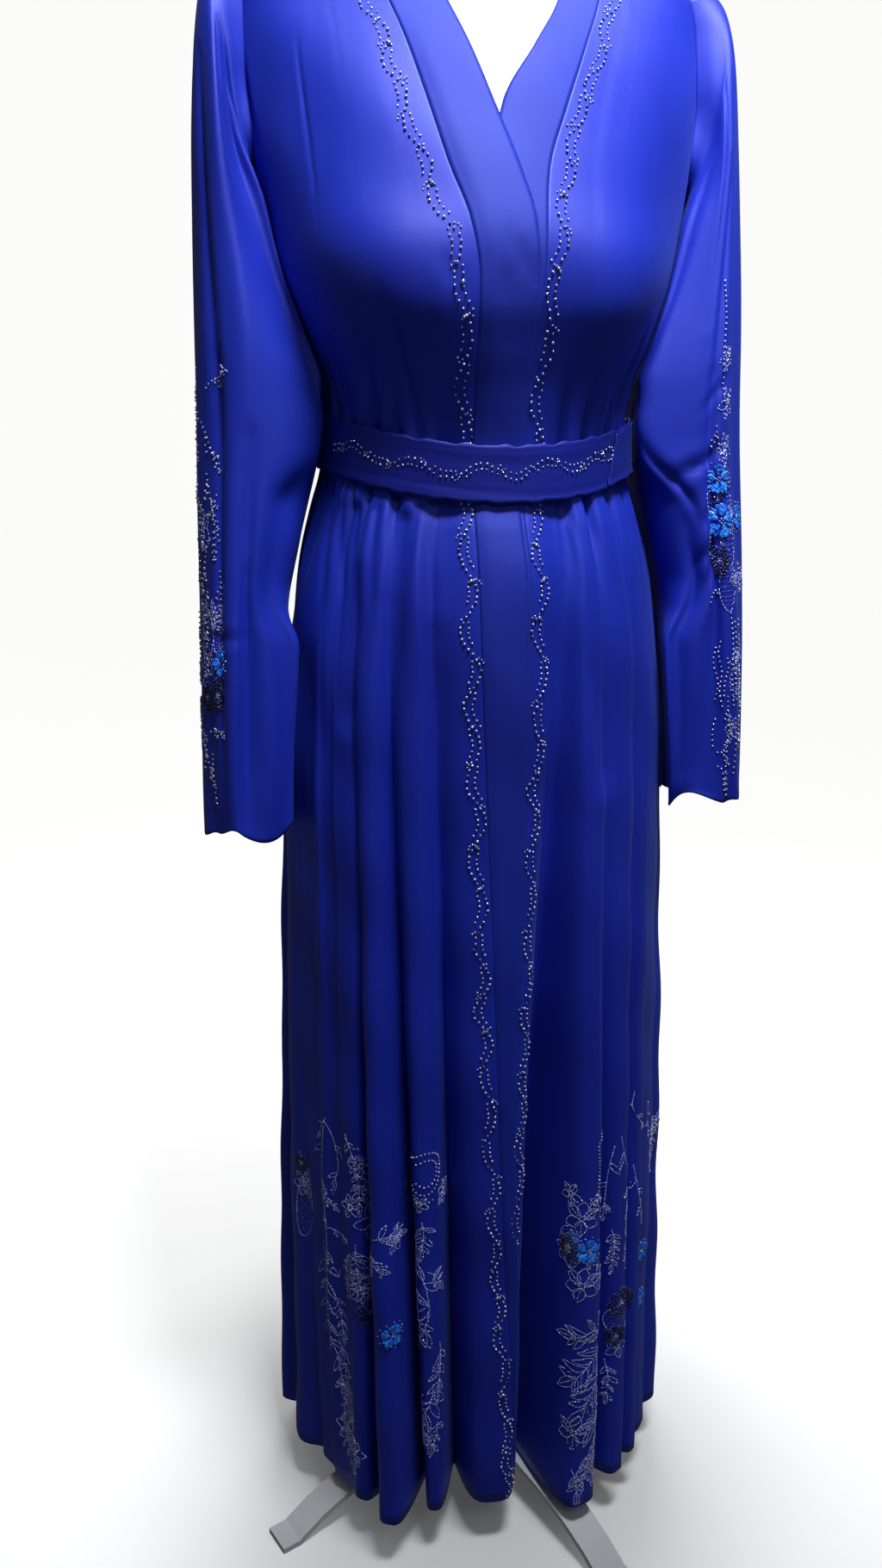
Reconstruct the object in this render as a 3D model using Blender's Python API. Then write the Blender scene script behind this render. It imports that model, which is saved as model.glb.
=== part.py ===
"""A long satin robe, cut to hang open at the front and worn closed by a belt, on a dress form.

The robe faces -Y and the wearer's left is +X. Metres, floor at zero.
"""
import bpy
import bmesh
import math
import numpy as np

# Robe, its main sizes
HEM_Z = 0.050
MID_Z = 0.660
BELT_MID = 1.090
ARMPIT_Z = 1.325
SHOULDER_Z = 1.495
SHOULDER_X = 0.215
NECK_Z = 1.555
NECK_X = 0.080
ARMHOLE_TOP_X = 0.1955
BAND_TOP_X = 0.118
BACK_SEAM_DIP = 0.044
BACK_NECK_DIP = 0.013
CLOTH = 0.0013
SEAM = 0.0004
LEAST_MITRE = 0.42

# Front bands, one lapped over the other
LAP_OUT = 0.0022

# Belt
BELT_WIDTH = 0.050
BELT_THICK = 0.0018
BELT_OUT = 0.0047

# Dress form and stand
POLE_R = 0.0135
POLE_BOTTOM = 0.080
FORM_BOTTOM = 0.800
LEG_WIDTH = 0.033
LEG_THICK = 0.006

# The robe's outline on the form: height, half width, front depth, back depth, centre in Y
BODY = (
    (0.050, 0.222, 0.180, 0.202, 0.000),
    (0.300, 0.214, 0.173, 0.192, 0.000),
    (0.550, 0.205, 0.163, 0.180, 0.000),
    (0.700, 0.198, 0.157, 0.173, 0.000),
    (0.800, 0.193, 0.152, 0.166, 0.000),
    (0.880, 0.186, 0.146, 0.158, 0.000),
    (0.940, 0.177, 0.140, 0.147, 0.000),
    (0.990, 0.166, 0.133, 0.134, 0.000),
    (1.035, 0.154, 0.125, 0.121, 0.000),
    (1.065, 0.147, 0.119, 0.113, 0.000),
    (1.090, 0.144, 0.117, 0.110, 0.000),
    (1.115, 0.1445, 0.119, 0.111, 0.000),
    (1.150, 0.150, 0.125, 0.114, 0.000),
    (1.195, 0.165, 0.139, 0.120, 0.000),
    (1.240, 0.179, 0.152, 0.122, 0.001),
    (1.300, 0.193, 0.143, 0.122, 0.003),
    (1.364, 0.206, 0.122, 0.115, 0.006),
    (1.420, 0.213, 0.097, 0.101, 0.009),
    (1.460, 0.2145, 0.077, 0.086, 0.011),
    (1.495, 0.215, 0.058, 0.070, 0.012),
    (1.528, 0.141, 0.043, 0.056, 0.012),
    (1.555, 0.080, 0.030, 0.046, 0.012),
)

# Each valley between two folds, in degrees from the front, plus toward the wearer's left:
# at the belt, at mid skirt, at the hem, depth at the hem, pleat depth at the belt,
# rise of the fold that follows it, strength of the gathers on that fold
FOLDS = (
    (-63.0, -57.0, -52.7, 0.030, 0.004, -0.030, 1.0),
    (-56.0, -48.0, -43.5, 0.026, 0.004, -0.018, 1.0),
    (-49.0, -41.0, -34.8, 0.040, 0.004, 0.002, 1.0),
    (-37.0, -29.0, -21.5, 0.075, 0.004, -0.022, 0.3),
    (-22.0, -16.0, -12.0, 0.085, 0.008, -0.032, 0.4),
    (24.0, 16.0, 11.5, 0.130, 0.006, 0.000, 1.0),
    (34.0, 31.5, 31.0, 0.045, 0.006, -0.012, 0.4),
    (48.0, 45.0, 43.0, 0.040, 0.003, -0.018, 0.6),
    (60.0, 55.0, 52.0, 0.030, 0.003, -0.026, 0.8),
    (74.0, 72.0, 70.0, 0.035, 0.004, -0.014, 0.9),
    (97.0, 97.0, 97.0, 0.040, 0.004, 0.000, 0.8),
    (111.0, 111.0, 111.0, 0.055, 0.004, 0.002, 1.0),
    (126.0, 126.0, 125.0, 0.050, 0.005, -0.004, 1.0),
    (141.0, 142.0, 142.0, 0.075, 0.004, 0.003, 0.9),
    (157.0, 159.0, 160.0, 0.060, 0.005, 0.000, 0.9),
    (176.0, 178.0, 179.0, 0.080, 0.004, 0.000, 1.0),
    (194.0, 195.0, 197.0, 0.060, 0.005, 0.004, 0.9),
    (212.0, 213.0, 214.0, 0.070, 0.004, -0.003, 1.0),
    (229.0, 230.0, 231.0, 0.055, 0.005, 0.000, 0.9),
    (246.0, 247.0, 249.0, 0.060, 0.004, 0.000, 0.9),
    (263.0, 262.0, 261.0, 0.045, 0.004, -0.022, 0.8),
    (283.0, 285.0, 288.0, 0.040, 0.004, -0.034, 0.9),
)

# Front opening, across in X: height of the seam, right seam, right band's free edge,
# left band's free edge, left seam, how much higher the free edges are than the seams
OPENING = (
    (0.050, 0.0175, 0.0285, 0.0245, 0.0325, 0.000),
    (0.200, 0.0085, 0.0215, 0.0165, 0.0255, 0.000),
    (0.400, -0.0035, 0.0120, 0.0060, 0.0165, 0.000),
    (0.550, -0.0085, 0.0110, 0.0010, 0.0155, 0.000),
    (0.660, -0.0125, 0.0155, -0.0030, 0.0200, 0.000),
    (0.880, -0.0210, 0.0205, -0.0110, 0.0250, 0.000),
    (0.960, -0.0230, 0.0210, -0.0120, 0.0255, 0.000),
    (1.060, -0.0243, 0.0175, -0.0130, 0.0220, 0.000),
    (1.130, -0.0248, 0.0185, -0.0135, 0.0230, 0.000),
    (1.225, -0.0245, 0.0260, -0.0130, 0.0310, 0.000),
    (1.269, -0.0310, 0.0240, -0.0130, 0.0335, 0.000),
    (1.312, -0.0455, 0.0135, -0.0100, 0.0390, 0.000),
    (1.366, -0.0600, -0.0050, 0.0020, 0.0580, 0.000),
    (1.420, -0.0750, -0.0235, 0.0345, 0.0800, 0.000),
    (1.470, -0.0920, -0.0440, 0.0640, 0.1000, 0.003),
    (1.5381, -0.1180, -0.0800, 0.0800, 0.1180, 0.0169),
)

# Armhole: share of its height, X of the edge in front, X of the edge behind
ARMHOLE = (
    (0.00, 0.1983, 0.1983),
    (0.15, 0.1985, 0.1960),
    (0.45, 0.2035, 0.1960),
    (0.75, 0.2030, 0.1960),
    (1.00, 0.1955, 0.1955),
)

# Sleeve, a row per ring: outer X, outer height, inner X, inner height,
# half depth, centre in Y, how much of the armhole's own shape it keeps, flatness of the sides
SLEEVE = (
    (0.1955, 1.5037, 0.1983, 1.3250, 0.0440, 0.012, 1.00, 0.0),
    (0.2130, 1.5090, 0.2045, 1.3190, 0.0460, 0.012, 0.70, 0.0),
    (0.2290, 1.5010, 0.2075, 1.3070, 0.0480, 0.012, 0.40, 0.1),
    (0.2385, 1.4760, 0.2055, 1.2890, 0.0510, 0.011, 0.18, 0.2),
    (0.2460, 1.4300, 0.1990, 1.2630, 0.0540, 0.010, 0.06, 0.3),
    (0.2505, 1.3660, 0.1870, 1.2300, 0.0570, 0.007, 0.00, 0.4),
    (0.2530, 1.2860, 0.1725, 1.1920, 0.0600, 0.003, 0.00, 0.5),
    (0.2555, 1.2040, 0.1590, 1.1460, 0.0625, -0.001, 0.00, 0.6),
    (0.2580, 1.1200, 0.1550, 1.0880, 0.0620, -0.005, 0.00, 0.6),
    (0.2600, 1.0400, 0.1690, 1.0220, 0.0620, -0.010, 0.00, 0.6),
    (0.2620, 0.9640, 0.1850, 0.9520, 0.0625, -0.014, 0.00, 0.6),
    (0.2645, 0.8920, 0.1915, 0.8860, 0.0630, -0.018, 0.00, 0.6),
    (0.2665, 0.8220, 0.1975, 0.8190, 0.0625, -0.020, 0.00, 0.6),
    (0.2685, 0.7530, 0.2000, 0.7520, 0.0615, -0.021, 0.00, 0.6),
)

# Soft lengthwise valleys of a sleeve: angle round it, width in degrees, depth at the top, depth at the cuff
SLEEVE_FOLDS = (
    (133.0, 17.0, 0.001, 0.008),
    (62.0, 20.0, 0.004, 0.006),
    (228.0, 18.0, 0.002, 0.008),
    (300.0, 20.0, 0.003, 0.005),
)

# Dress form: height, half width, front depth, back depth, centre in Y
FORM = (
    (0.8000, 0.146, 0.100, 0.110, 0.000),
    (0.8080, 0.156, 0.108, 0.118, 0.000),
    (0.8400, 0.163, 0.113, 0.126, 0.000),
    (0.9000, 0.165, 0.116, 0.131, 0.000),
    (0.9600, 0.154, 0.112, 0.120, 0.000),
    (1.0200, 0.135, 0.101, 0.103, 0.000),
    (1.0800, 0.122, 0.093, 0.092, 0.000),
    (1.1300, 0.124, 0.097, 0.094, 0.000),
    (1.1900, 0.134, 0.115, 0.101, 0.000),
    (1.2450, 0.146, 0.128, 0.105, 0.000),
    (1.3000, 0.158, 0.124, 0.106, 0.002),
    (1.3600, 0.171, 0.104, 0.101, 0.005),
    (1.4100, 0.180, 0.085, 0.091, 0.008),
    (1.4500, 0.184, 0.067, 0.078, 0.011),
    (1.4840, 0.186, 0.048, 0.060, 0.012),
    (1.5101, 0.180, 0.015, 0.016, 0.012),
    (1.5234, 0.150, 0.015, 0.016, 0.012),
    (1.5367, 0.120, 0.015, 0.016, 0.012),
    (1.5440, 0.102, 0.015, 0.016, 0.012),
    (1.5460, 0.074, 0.022, 0.028, 0.012),
    (1.5540, 0.062, 0.034, 0.038, 0.011),
    (1.5720, 0.057, 0.041, 0.043, 0.010),
    (1.6000, 0.055, 0.043, 0.043, 0.008),
    (1.6400, 0.054, 0.043, 0.043, 0.006),
)


def curve(table, column, at):
    """Smooth value of one column of a table whose first column rises; it never overshoots a row."""
    at = np.asarray(at, float)
    place = np.array([row[0] for row in table], float)
    value = np.array([row[column] for row in table], float)
    step = np.diff(place)
    rise = np.diff(value) / step
    slope = np.zeros(len(place))
    slope[0] = rise[0]
    slope[-1] = rise[-1]
    before = rise[:-1]
    after = rise[1:]
    same = before * after > 0
    slope[1:-1][same] = 2 * before[same] * after[same] / (before[same] + after[same])
    at = np.clip(at, place[0], place[-1])
    k = np.clip(np.searchsorted(place, at, side="right") - 1, 0, len(place) - 2)
    t = (at - place[k]) / step[k]
    start = (1 + 2 * t) * (1 - t) ** 2 * value[k] + t * (1 - t) ** 2 * step[k] * slope[k]
    end = t * t * (3 - 2 * t) * value[k + 1] + t * t * (t - 1) * step[k] * slope[k + 1]
    return start + end


def half_width(z):
    """Half width of the robe's body; above the shoulder point it follows the sloping shoulder."""
    z = np.asarray(z, float)
    slope = (SHOULDER_X - NECK_X) / (NECK_Z - SHOULDER_Z)
    return np.where(z > SHOULDER_Z, SHOULDER_X - (z - SHOULDER_Z) * slope, curve(BODY[:-2], 1, z))


def shoulder_height(x):
    """Height of the shoulder seam at a distance from the middle."""
    return SHOULDER_Z + (SHOULDER_X - np.abs(x)) / (SHOULDER_X - NECK_X) * (NECK_Z - SHOULDER_Z)


def fold_angles(z):
    """Angle of every valley at each height."""
    z = np.asarray(z, float).reshape(-1, 1)
    belt = np.array([fold[0] for fold in FOLDS])
    mid = np.array([fold[1] for fold in FOLDS])
    hem = np.array([fold[2] for fold in FOLDS])
    low = np.clip((MID_Z - z) / (MID_Z - HEM_Z), 0, 1)
    high = np.clip((z - MID_Z) / (BELT_MID - MID_Z), 0, 1)
    return mid + (hem - mid) * low + (belt - mid) * high ** 1.2


def fold_offset(angle, z):
    """How far the cloth is moved out from the outline by the folds and the gathers."""
    angle, z = np.broadcast_arrays(np.asarray(angle, float), np.asarray(z, float))
    shape = angle.shape
    z = z.ravel()
    knots = fold_angles(z)
    first = knots[:, 0]
    a = (angle.ravel() - first) % 360.0 + first
    k = np.clip((a[:, None] >= knots).sum(1) - 1, 0, len(FOLDS) - 1)
    n = (k + 1) % len(FOLDS)
    row = np.arange(len(z))
    low = knots[row, k]
    high = np.where(k == len(FOLDS) - 1, first + 360.0, knots[row, n])
    t = (a - low) / (high - low)
    drop = np.clip((1.06 - z) / (1.06 - HEM_Z), 0, 1)
    reach = np.where(z > BELT_MID, 0.07, 0.12)
    near = np.exp(-(np.abs(z - BELT_MID) / reach) ** 1.6)
    hem = np.array([fold[3] for fold in FOLDS])
    pleat = np.array([fold[4] for fold in FOLDS])
    crown = np.array([fold[5] for fold in FOLDS])
    gather = np.array([fold[6] for fold in FOLDS])
    deep = hem * drop[:, None] ** 1.3 + pleat * near[:, None]
    ease = t * t * (3 - 2 * t)
    depth = deep[row, k] * (1 - ease) + deep[row, n] * ease
    ridge = (1 + np.cos(np.pi * (2 * t - 1) ** 2)) / 2
    out = crown[k] * drop * ridge - depth * (1 - ridge)
    out -= 0.0021 * gather[k] * near * (1 + np.cos(4 * np.pi * t))
    return out.reshape(shape)


def belt_lift(angle):
    """The belt line dips in front and is highest at the back."""
    c = np.cos(np.radians(angle))
    return np.where(c > 0, 0.014 - 0.036 * np.abs(c) ** 1.5, 0.014 + 0.006 * np.abs(c))


def body(angle, z, folded=1.0):
    """Point of the body cloth's inner face at an angle round the form and a height."""
    r = np.radians(angle)
    s = np.sin(r)
    c = np.cos(r)
    w = half_width(z)
    d = np.where(c > 0, curve(BODY, 2, z), curve(BODY, 3, z))
    length = np.sqrt((s / w) ** 2 + (c / d) ** 2)
    out = fold_offset(angle, z) * folded
    x = w * s + s / w / length * out
    y = curve(BODY, 4, z) - d * c - c / d / length * out
    near = np.exp(-((np.asarray(z) - BELT_MID) / 0.10) ** 2)
    return np.stack(np.broadcast_arrays(x, y, z + belt_lift(angle) * near), -1)


def angle_at(x, z, behind=False):
    """Angle round the form of a point given by its X and its height."""
    a = np.degrees(np.arcsin(np.clip(x / half_width(z), -1, 1)))
    return 180.0 - a if behind else a


def grid_normals(grid, closed):
    """Normals of a grid of points, longer in a sharp fold so that a wall keeps its thickness there."""
    steps = np.diff(grid, axis=1)
    if closed:
        steps = np.concatenate([steps, grid[:, :1] - grid[:, -1:]], 1)
        before = np.roll(steps, 1, axis=1)
        after = steps
    else:
        before = np.concatenate([steps[:, :1], steps], 1)
        after = np.concatenate([steps, steps[:, -1:]], 1)
    along = np.gradient(grid, axis=0)
    first = np.cross(before, along)
    first /= np.maximum(np.linalg.norm(first, axis=2, keepdims=True), 1e-12)
    second = np.cross(after, along)
    second /= np.maximum(np.linalg.norm(second, axis=2, keepdims=True), 1e-12)
    n = first + second
    n /= np.maximum(np.linalg.norm(n, axis=2, keepdims=True), 1e-12)
    return n / np.maximum(np.sum(n * first, axis=2, keepdims=True), LEAST_MITRE)


def signed_volume(points, faces):
    """Volume inside the faces; it is negative when they face inwards."""
    total = 0.0
    for face in faces:
        a = points[face[0]]
        for i in range(1, len(face) - 1):
            total += np.dot(a, np.cross(points[face[i]], points[face[i + 1]]))
    return total / 6


def make_object(name, points, faces, slot):
    """Mesh object with its faces turned outwards."""
    points = np.asarray(points, float)
    if signed_volume(points, faces) < 0:
        faces = [tuple(reversed(face)) for face in faces]
    mesh = bpy.data.meshes.new(name)
    mesh.from_pydata([tuple(p) for p in points], [], faces)
    mesh.materials.append(material(slot))
    mesh.update()
    work = bmesh.new()
    work.from_mesh(mesh)
    bmesh.ops.triangulate(work, faces=work.faces)
    work.to_mesh(mesh)
    work.free()
    made = bpy.data.objects.new(name, mesh)
    bpy.context.scene.collection.objects.link(made)
    return made


def cloth_sheet(name, grid, slot, out=0.0, thick=CLOTH, closed=False):
    """Cloth of even thickness whose inner face is the grid moved out; closed joins the last column to the first."""
    rows, columns = grid.shape[:2]
    normal = grid_normals(grid, closed)
    middle = grid.reshape(-1, 3).mean(0) * closed
    if np.sum(normal[..., :2] * (grid[..., :2] - middle[:2])) < 0:
        normal = -normal
    out = np.broadcast_to(np.asarray(out, float), (rows, columns))[..., None]
    inner = grid + normal * out
    outer = grid + normal * (out + thick)
    points = np.concatenate([inner.reshape(-1, 3), outer.reshape(-1, 3)])
    half = rows * columns
    last = columns if closed else columns - 1
    faces = []
    for i in range(rows - 1):
        for j in range(last):
            a = i * columns + j
            b = i * columns + (j + 1) % columns
            c = b + columns
            d = a + columns
            faces.append((a, d, c, b))
            faces.append((half + a, half + b, half + c, half + d))
    for j in range(last):
        for a, b in ((j, (j + 1) % columns), (half - columns + (j + 1) % columns, half - columns + j)):
            faces.append((a, b, half + b, half + a))
    if not closed:
        for i in range(rows - 1):
            for a, b in (((i + 1) * columns, i * columns), (i * columns + last, (i + 1) * columns + last)):
                faces.append((a, b, half + b, half + a))
    return make_object(name, points, faces, slot)


def ring_solid(name, rings, slot):
    """Solid through closed rings of points, capped flat at both ends."""
    rings = np.asarray(rings, float)
    rows, columns = rings.shape[:2]
    points = list(rings.reshape(-1, 3))
    points.append(rings[0].mean(0))
    points.append(rings[-1].mean(0))
    faces = []
    for j in range(columns):
        k = (j + 1) % columns
        for i in range(rows - 1):
            faces.append((i * columns + j, i * columns + k, (i + 1) * columns + k, (i + 1) * columns + j))
        faces.append((k, j, rows * columns))
        faces.append(((rows - 1) * columns + j, (rows - 1) * columns + k, rows * columns + 1))
    return make_object(name, points, faces, slot)


COLOURS = {
    "blue_satin": (0.012, 0.045, 0.420, 1.0),
    "band_satin": (0.014, 0.052, 0.460, 1.0),
    "belt_satin": (0.012, 0.048, 0.440, 1.0),
    "form_jersey": (0.780, 0.780, 0.800, 1.0),
    "stand_white": (0.700, 0.710, 0.740, 1.0),
}


def material(slot):
    """Plain material of one slot."""
    found = bpy.data.materials.get(slot)
    if found:
        return found
    made = bpy.data.materials.new(slot)
    made.use_nodes = True
    shader = made.node_tree.nodes["Principled BSDF"]
    shader.inputs["Base Color"].default_value = COLOURS[slot]
    shader.inputs["Roughness"].default_value = 0.4 if "satin" in slot else 0.6
    made.diffuse_color = COLOURS[slot]
    return made


def spread(anchors, counts):
    """Columns between anchor angles, each a value per row, with a count of steps for each span."""
    columns = []
    for k, count in enumerate(counts):
        for i in range(count):
            share = i / count
            if 0 < k < len(counts) - 1:
                share -= 0.045 * math.sin(2 * math.pi * share)
            columns.append(anchors[k] + (anchors[k + 1] - anchors[k]) * share)
    columns.append(anchors[-1])
    return np.stack(columns, -1)


LOW_ROWS = (0.050, 0.110, 0.190, 0.280, 0.380, 0.480, 0.580, 0.680, 0.770, 0.850, 0.920, 0.980,
            1.030, 1.075, 1.115, 1.160, 1.210, 1.265, 1.325)
HIGH_SHARES = (0.16, 0.34, 0.52, 0.69, 0.83, 0.94, 1.0)


def armhole_point(share, side, behind):
    """Point of the armhole's edge, side -1 or 1, from the armpit at 0 to the shoulder at 1."""
    share = np.asarray(share, float)
    z = ARMPIT_Z + (shoulder_height(ARMHOLE_TOP_X) - ARMPIT_Z) * share
    x = curve(ARMHOLE, 2 if behind else 1, share)
    return x, z


def valley(index):
    """Angles of one valley at the low rows."""
    return fold_angles(np.array(LOW_ROWS))[:, index]


def front_grid(side):
    """Front panel from its side seam to its band's seam."""
    low = np.array(LOW_ROWS)
    column = 1 if side < 0 else 4
    gap = np.degrees(SEAM / half_width(low))
    seam = angle_at(curve(OPENING, column, low), low) + side * gap * 2
    if side < 0:
        ends = [-90.0 + gap] + [valley(21) - 360.0] + [valley(k) for k in (0, 1, 2, 3, 4)] + [seam]
        counts = (2, 5, 3, 3, 5, 5, 3)
    else:
        ends = [seam] + [valley(k) for k in (5, 6, 7, 8, 9)] + [90.0 - gap]
        ends.reverse()
        counts = (3, 5, 4, 4, 5, 4)
    angles = spread(ends, counts)
    rows = [body(angles[i], z) for i, z in enumerate(low)]
    first = half_width(ARMPIT_Z) * np.sin(np.radians(angles[-1]))
    even = (first - first[0]) / (first[-1] - first[0])
    steps = np.linspace(0, 1, angles.shape[1])
    for share in HIGH_SHARES:
        x_arm, z_arm = armhole_point(share, side, False)
        z_seam = ARMPIT_Z + (OPENING[-1][0] - ARMPIT_Z) * share
        x_arm = side * x_arm
        x_seam = curve(OPENING, column, z_seam) + side * SEAM * 2
        part = even * (1 - share) + steps * share
        x = x_arm + (x_seam - x_arm) * part
        z = z_arm + (z_seam - z_arm) * part
        points = body(angle_at(x, z), z)
        points[:, 1] -= SEAM * share
        rows.append(points)
    return np.array(rows)


def back_seam_height(x):
    """Height of the seam between the back and its neck band."""
    inside = np.clip(1 - (x / BAND_TOP_X) ** 2, 0, 1)
    return np.where(np.abs(x) < BAND_TOP_X, OPENING[-1][0] - BACK_SEAM_DIP * inside, shoulder_height(x))


def back_grid():
    """Back panel from the left side seam round to the right one."""
    low = np.array(LOW_ROWS)
    gap = np.degrees(SEAM / half_width(low))
    ends = [90.0 + gap] + [valley(k) for k in range(10, 21)] + [270.0 - gap]
    angles = spread(ends, (2, 4, 4, 4, 4, 4, 4, 4, 4, 4, 4, 2))
    rows = [body(angles[i], z) for i, z in enumerate(low)]
    first = half_width(ARMPIT_Z) * np.sin(np.radians(angles[-1]))
    top = first / abs(first[0]) * ARMHOLE_TOP_X
    nearest = np.argmin(np.abs(top - BAND_TOP_X))
    top[nearest] = BAND_TOP_X
    nearest = np.argmin(np.abs(top + BAND_TOP_X))
    top[nearest] = -BAND_TOP_X
    for share in HIGH_SHARES:
        x_arm, z_arm = armhole_point(share, 1, True)
        x = (first / abs(first[0]) * (1 - share) + top / ARMHOLE_TOP_X * share) * x_arm
        z = ARMPIT_Z + (back_seam_height(top) - 2 * SEAM * (np.abs(top) <= BAND_TOP_X) - ARMPIT_Z) * share
        x = np.clip(x, -half_width(z), half_width(z))
        points = body(angle_at(x, z, True), z)
        points[:, 1] += SEAM * share
        rows.append(points)
    return np.array(rows)


BAND_ROWS = (0.050, 0.110, 0.190, 0.280, 0.380, 0.480, 0.580, 0.680, 0.770, 0.850, 0.920, 0.980, 1.030,
             1.075, 1.115, 1.160, 1.210, 1.265, 1.300, 1.335, 1.366, 1.395, 1.420, 1.448, 1.476, 1.502, 1.524, 1.5381)


def band_grid(side):
    """Front band from its seam to its free edge, hem to shoulder, and how far each point is moved out."""
    z = np.array(BAND_ROWS)
    seam = curve(OPENING, 1 if side < 0 else 4, z) - side * SEAM
    edge = curve(OPENING, 2 if side < 0 else 3, z)
    rise = curve(OPENING, 5, z)
    shares = np.array([0.0, 0.16, 0.37, 0.58, 0.79, 1.0])
    x = seam[:, None] + (edge - seam)[:, None] * shares
    height = z[:, None] + rise[:, None] * shares
    last = shoulder_height(x[-1])
    height[-1] = last
    points = body(angle_at(x, height), height)
    fade = np.clip((z - ARMPIT_Z) / (OPENING[-1][0] - ARMPIT_Z), 0, 1)
    points[..., 1] -= SEAM * fade[:, None]
    lap = LAP_OUT * (1 - np.clip((z - 1.385) / 0.06, 0, 1)) if side < 0 else 0 * z
    return points, lap[:, None] * np.clip(shares / 0.16, 0, 1)


def back_band_grid():
    """Neck band across the back, from its seam to the neckline."""
    steps = np.linspace(-1, 1, 17)
    seam_x = steps * BAND_TOP_X
    edge_x = steps * NECK_X
    seam_z = back_seam_height(seam_x)
    edge_z = NECK_Z - BACK_NECK_DIP * (1 - steps ** 2)
    rows = []
    for share in (0.0, 0.25, 0.5, 0.75, 1.0):
        x = seam_x + (edge_x - seam_x) * share
        z = seam_z + (edge_z - seam_z) * share
        z += 2 * SEAM * (1 - share)
        points = body(angle_at(x, z, True), z)
        points[:, 1] += SEAM
        rows.append(points)
    return np.array(rows)


# How the inner side of a sleeve lies along the robe's body: height, share of the way, how far out
HUG = (
    (0.740, 0.8, 0.0050),
    (0.915, 0.8, 0.0050),
    (0.955, 0.2, 0.0050),
    (0.980, 0.0, 0.0080),
    (1.045, 0.0, 0.0125),
    (1.090, 0.7, 0.0125),
    (1.130, 1.0, 0.0125),
    (1.165, 1.0, 0.0045),
    (1.290, 1.0, 0.0045),
    (1.380, 0.0, 0.0045),
)


def hug(ring, c, s):
    """How far in X each point of a sleeve's ring moves so that its inner side lies along the body."""
    z = ring[:, 2]
    across = ring[:, 1] - curve(BODY, 4, z)
    depth = np.where(across < 0, curve(BODY, 2, z), curve(BODY, 3, z))
    beside = half_width(z) * np.sqrt(np.clip(1 - (across / depth) ** 2, 0, 1)) + curve(HUG, 2, z)
    inner = np.clip(-c / 0.75, 0, 1)
    share = inner * inner * (3 - 2 * inner) * np.where(s < 0, 0.35, 1.0) * curve(HUG, 1, z)
    return (beside - ring[:, 0]) * share


def sleeve_grid(side, around, drop):
    """Sleeve from the armhole to the cuff; the angle runs from the inside over the front to the outside."""
    turn = np.arange(around) * 360.0 / around
    r = np.radians(turn)
    share = (1 - np.cos(r)) / 2
    hole = []
    for k in range(around):
        behind = turn[k] > 180
        x, z = armhole_point(share[k], 1, behind)
        point = body(angle_at(x, z, behind), z)
        hole.append((x + CLOTH + SEAM * (2.5 + 5 * (1 - share[k]) ** 6), point[1], z))
    hole = np.array(hole)
    rings = []
    for i, row in enumerate(SLEEVE):
        outer_x, outer_z, inner_x, inner_z, depth, centre, keep, flat = row
        down = i / (len(SLEEVE) - 1)
        shift = drop * max(0.0, down - 0.3) / 0.7
        c = -np.cos(r)
        s = np.sin(r)
        size = (np.abs(c) ** (2 + flat) + np.abs(s) ** (2 + flat)) ** (-1 / (2 + flat))
        dent = np.zeros(around)
        for at, width, top, cuff in SLEEVE_FOLDS:
            away = (turn - at + 180) % 360 - 180
            dent += (top + (cuff - top) * down) * np.exp(-(away / width) ** 2) * min(1.0, i / 4)
        mid_x = (outer_x + inner_x) / 2
        mid_z = (outer_z + inner_z) / 2
        reach = size * (1 - dent / depth)
        x = mid_x + (outer_x - inner_x) / 2 * c * reach
        z = mid_z + (outer_z - inner_z) / 2 * c * reach + shift
        y = centre - depth * s * reach
        ring = np.stack([x, y, z], -1)
        if i == 0:
            start = hole - ring
        ring = ring + start * keep
        ring[:, 0] += hug(ring, c, s)
        rings.append(ring)
    grid = np.array(rings)
    grid[..., 0] *= side
    return grid


def belt_grid(start, end, count, out, width):
    """Strip round the waist between two angles."""
    closed = end - start >= 360
    angles = start + (end - start) * np.arange(count) / (count if closed else count - 1)
    rows = []
    for share in (-0.5, 0.0, 0.5):
        z = BELT_MID + share * width
        points = body(angles, z, 0.0)
        points[:, 2] = BELT_MID + belt_lift(angles) + share * width
        rows.append(points)
    grid = np.array(rows)
    normal = grid_normals(grid, closed)
    if np.sum(normal[..., :2] * grid[..., :2]) < 0:
        normal = -normal
    return grid + normal * out


def oval_ring(z, w, front, back, centre, count):
    """Ring of the dress form at one height."""
    r = np.arange(count) * 2 * np.pi / count
    c = np.cos(r)
    y = centre - np.where(c > 0, front, back) * c
    return np.stack([w * np.sin(r), y, np.full(count, z)], -1)


def cylinder_rings(rows, count, x=0.0, y=0.0):
    """Rings of a turned piece from rows of radius and height."""
    r = np.arange(count) * 2 * np.pi / count
    return [np.stack([x + radius * np.sin(r), y - radius * np.cos(r), np.full(count, z)], -1) for radius, z in rows]


# A leg's arch: distance out, height of its underside
LEG_ARCH = (
    (0.0235, 0.0405),
    (0.060, 0.0405),
    (0.100, 0.0388),
    (0.140, 0.0340),
    (0.175, 0.0262),
    (0.205, 0.0150),
    (0.225, 0.0042),
    (0.233, 0.0000),
    (0.252, 0.0000),
)


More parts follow.
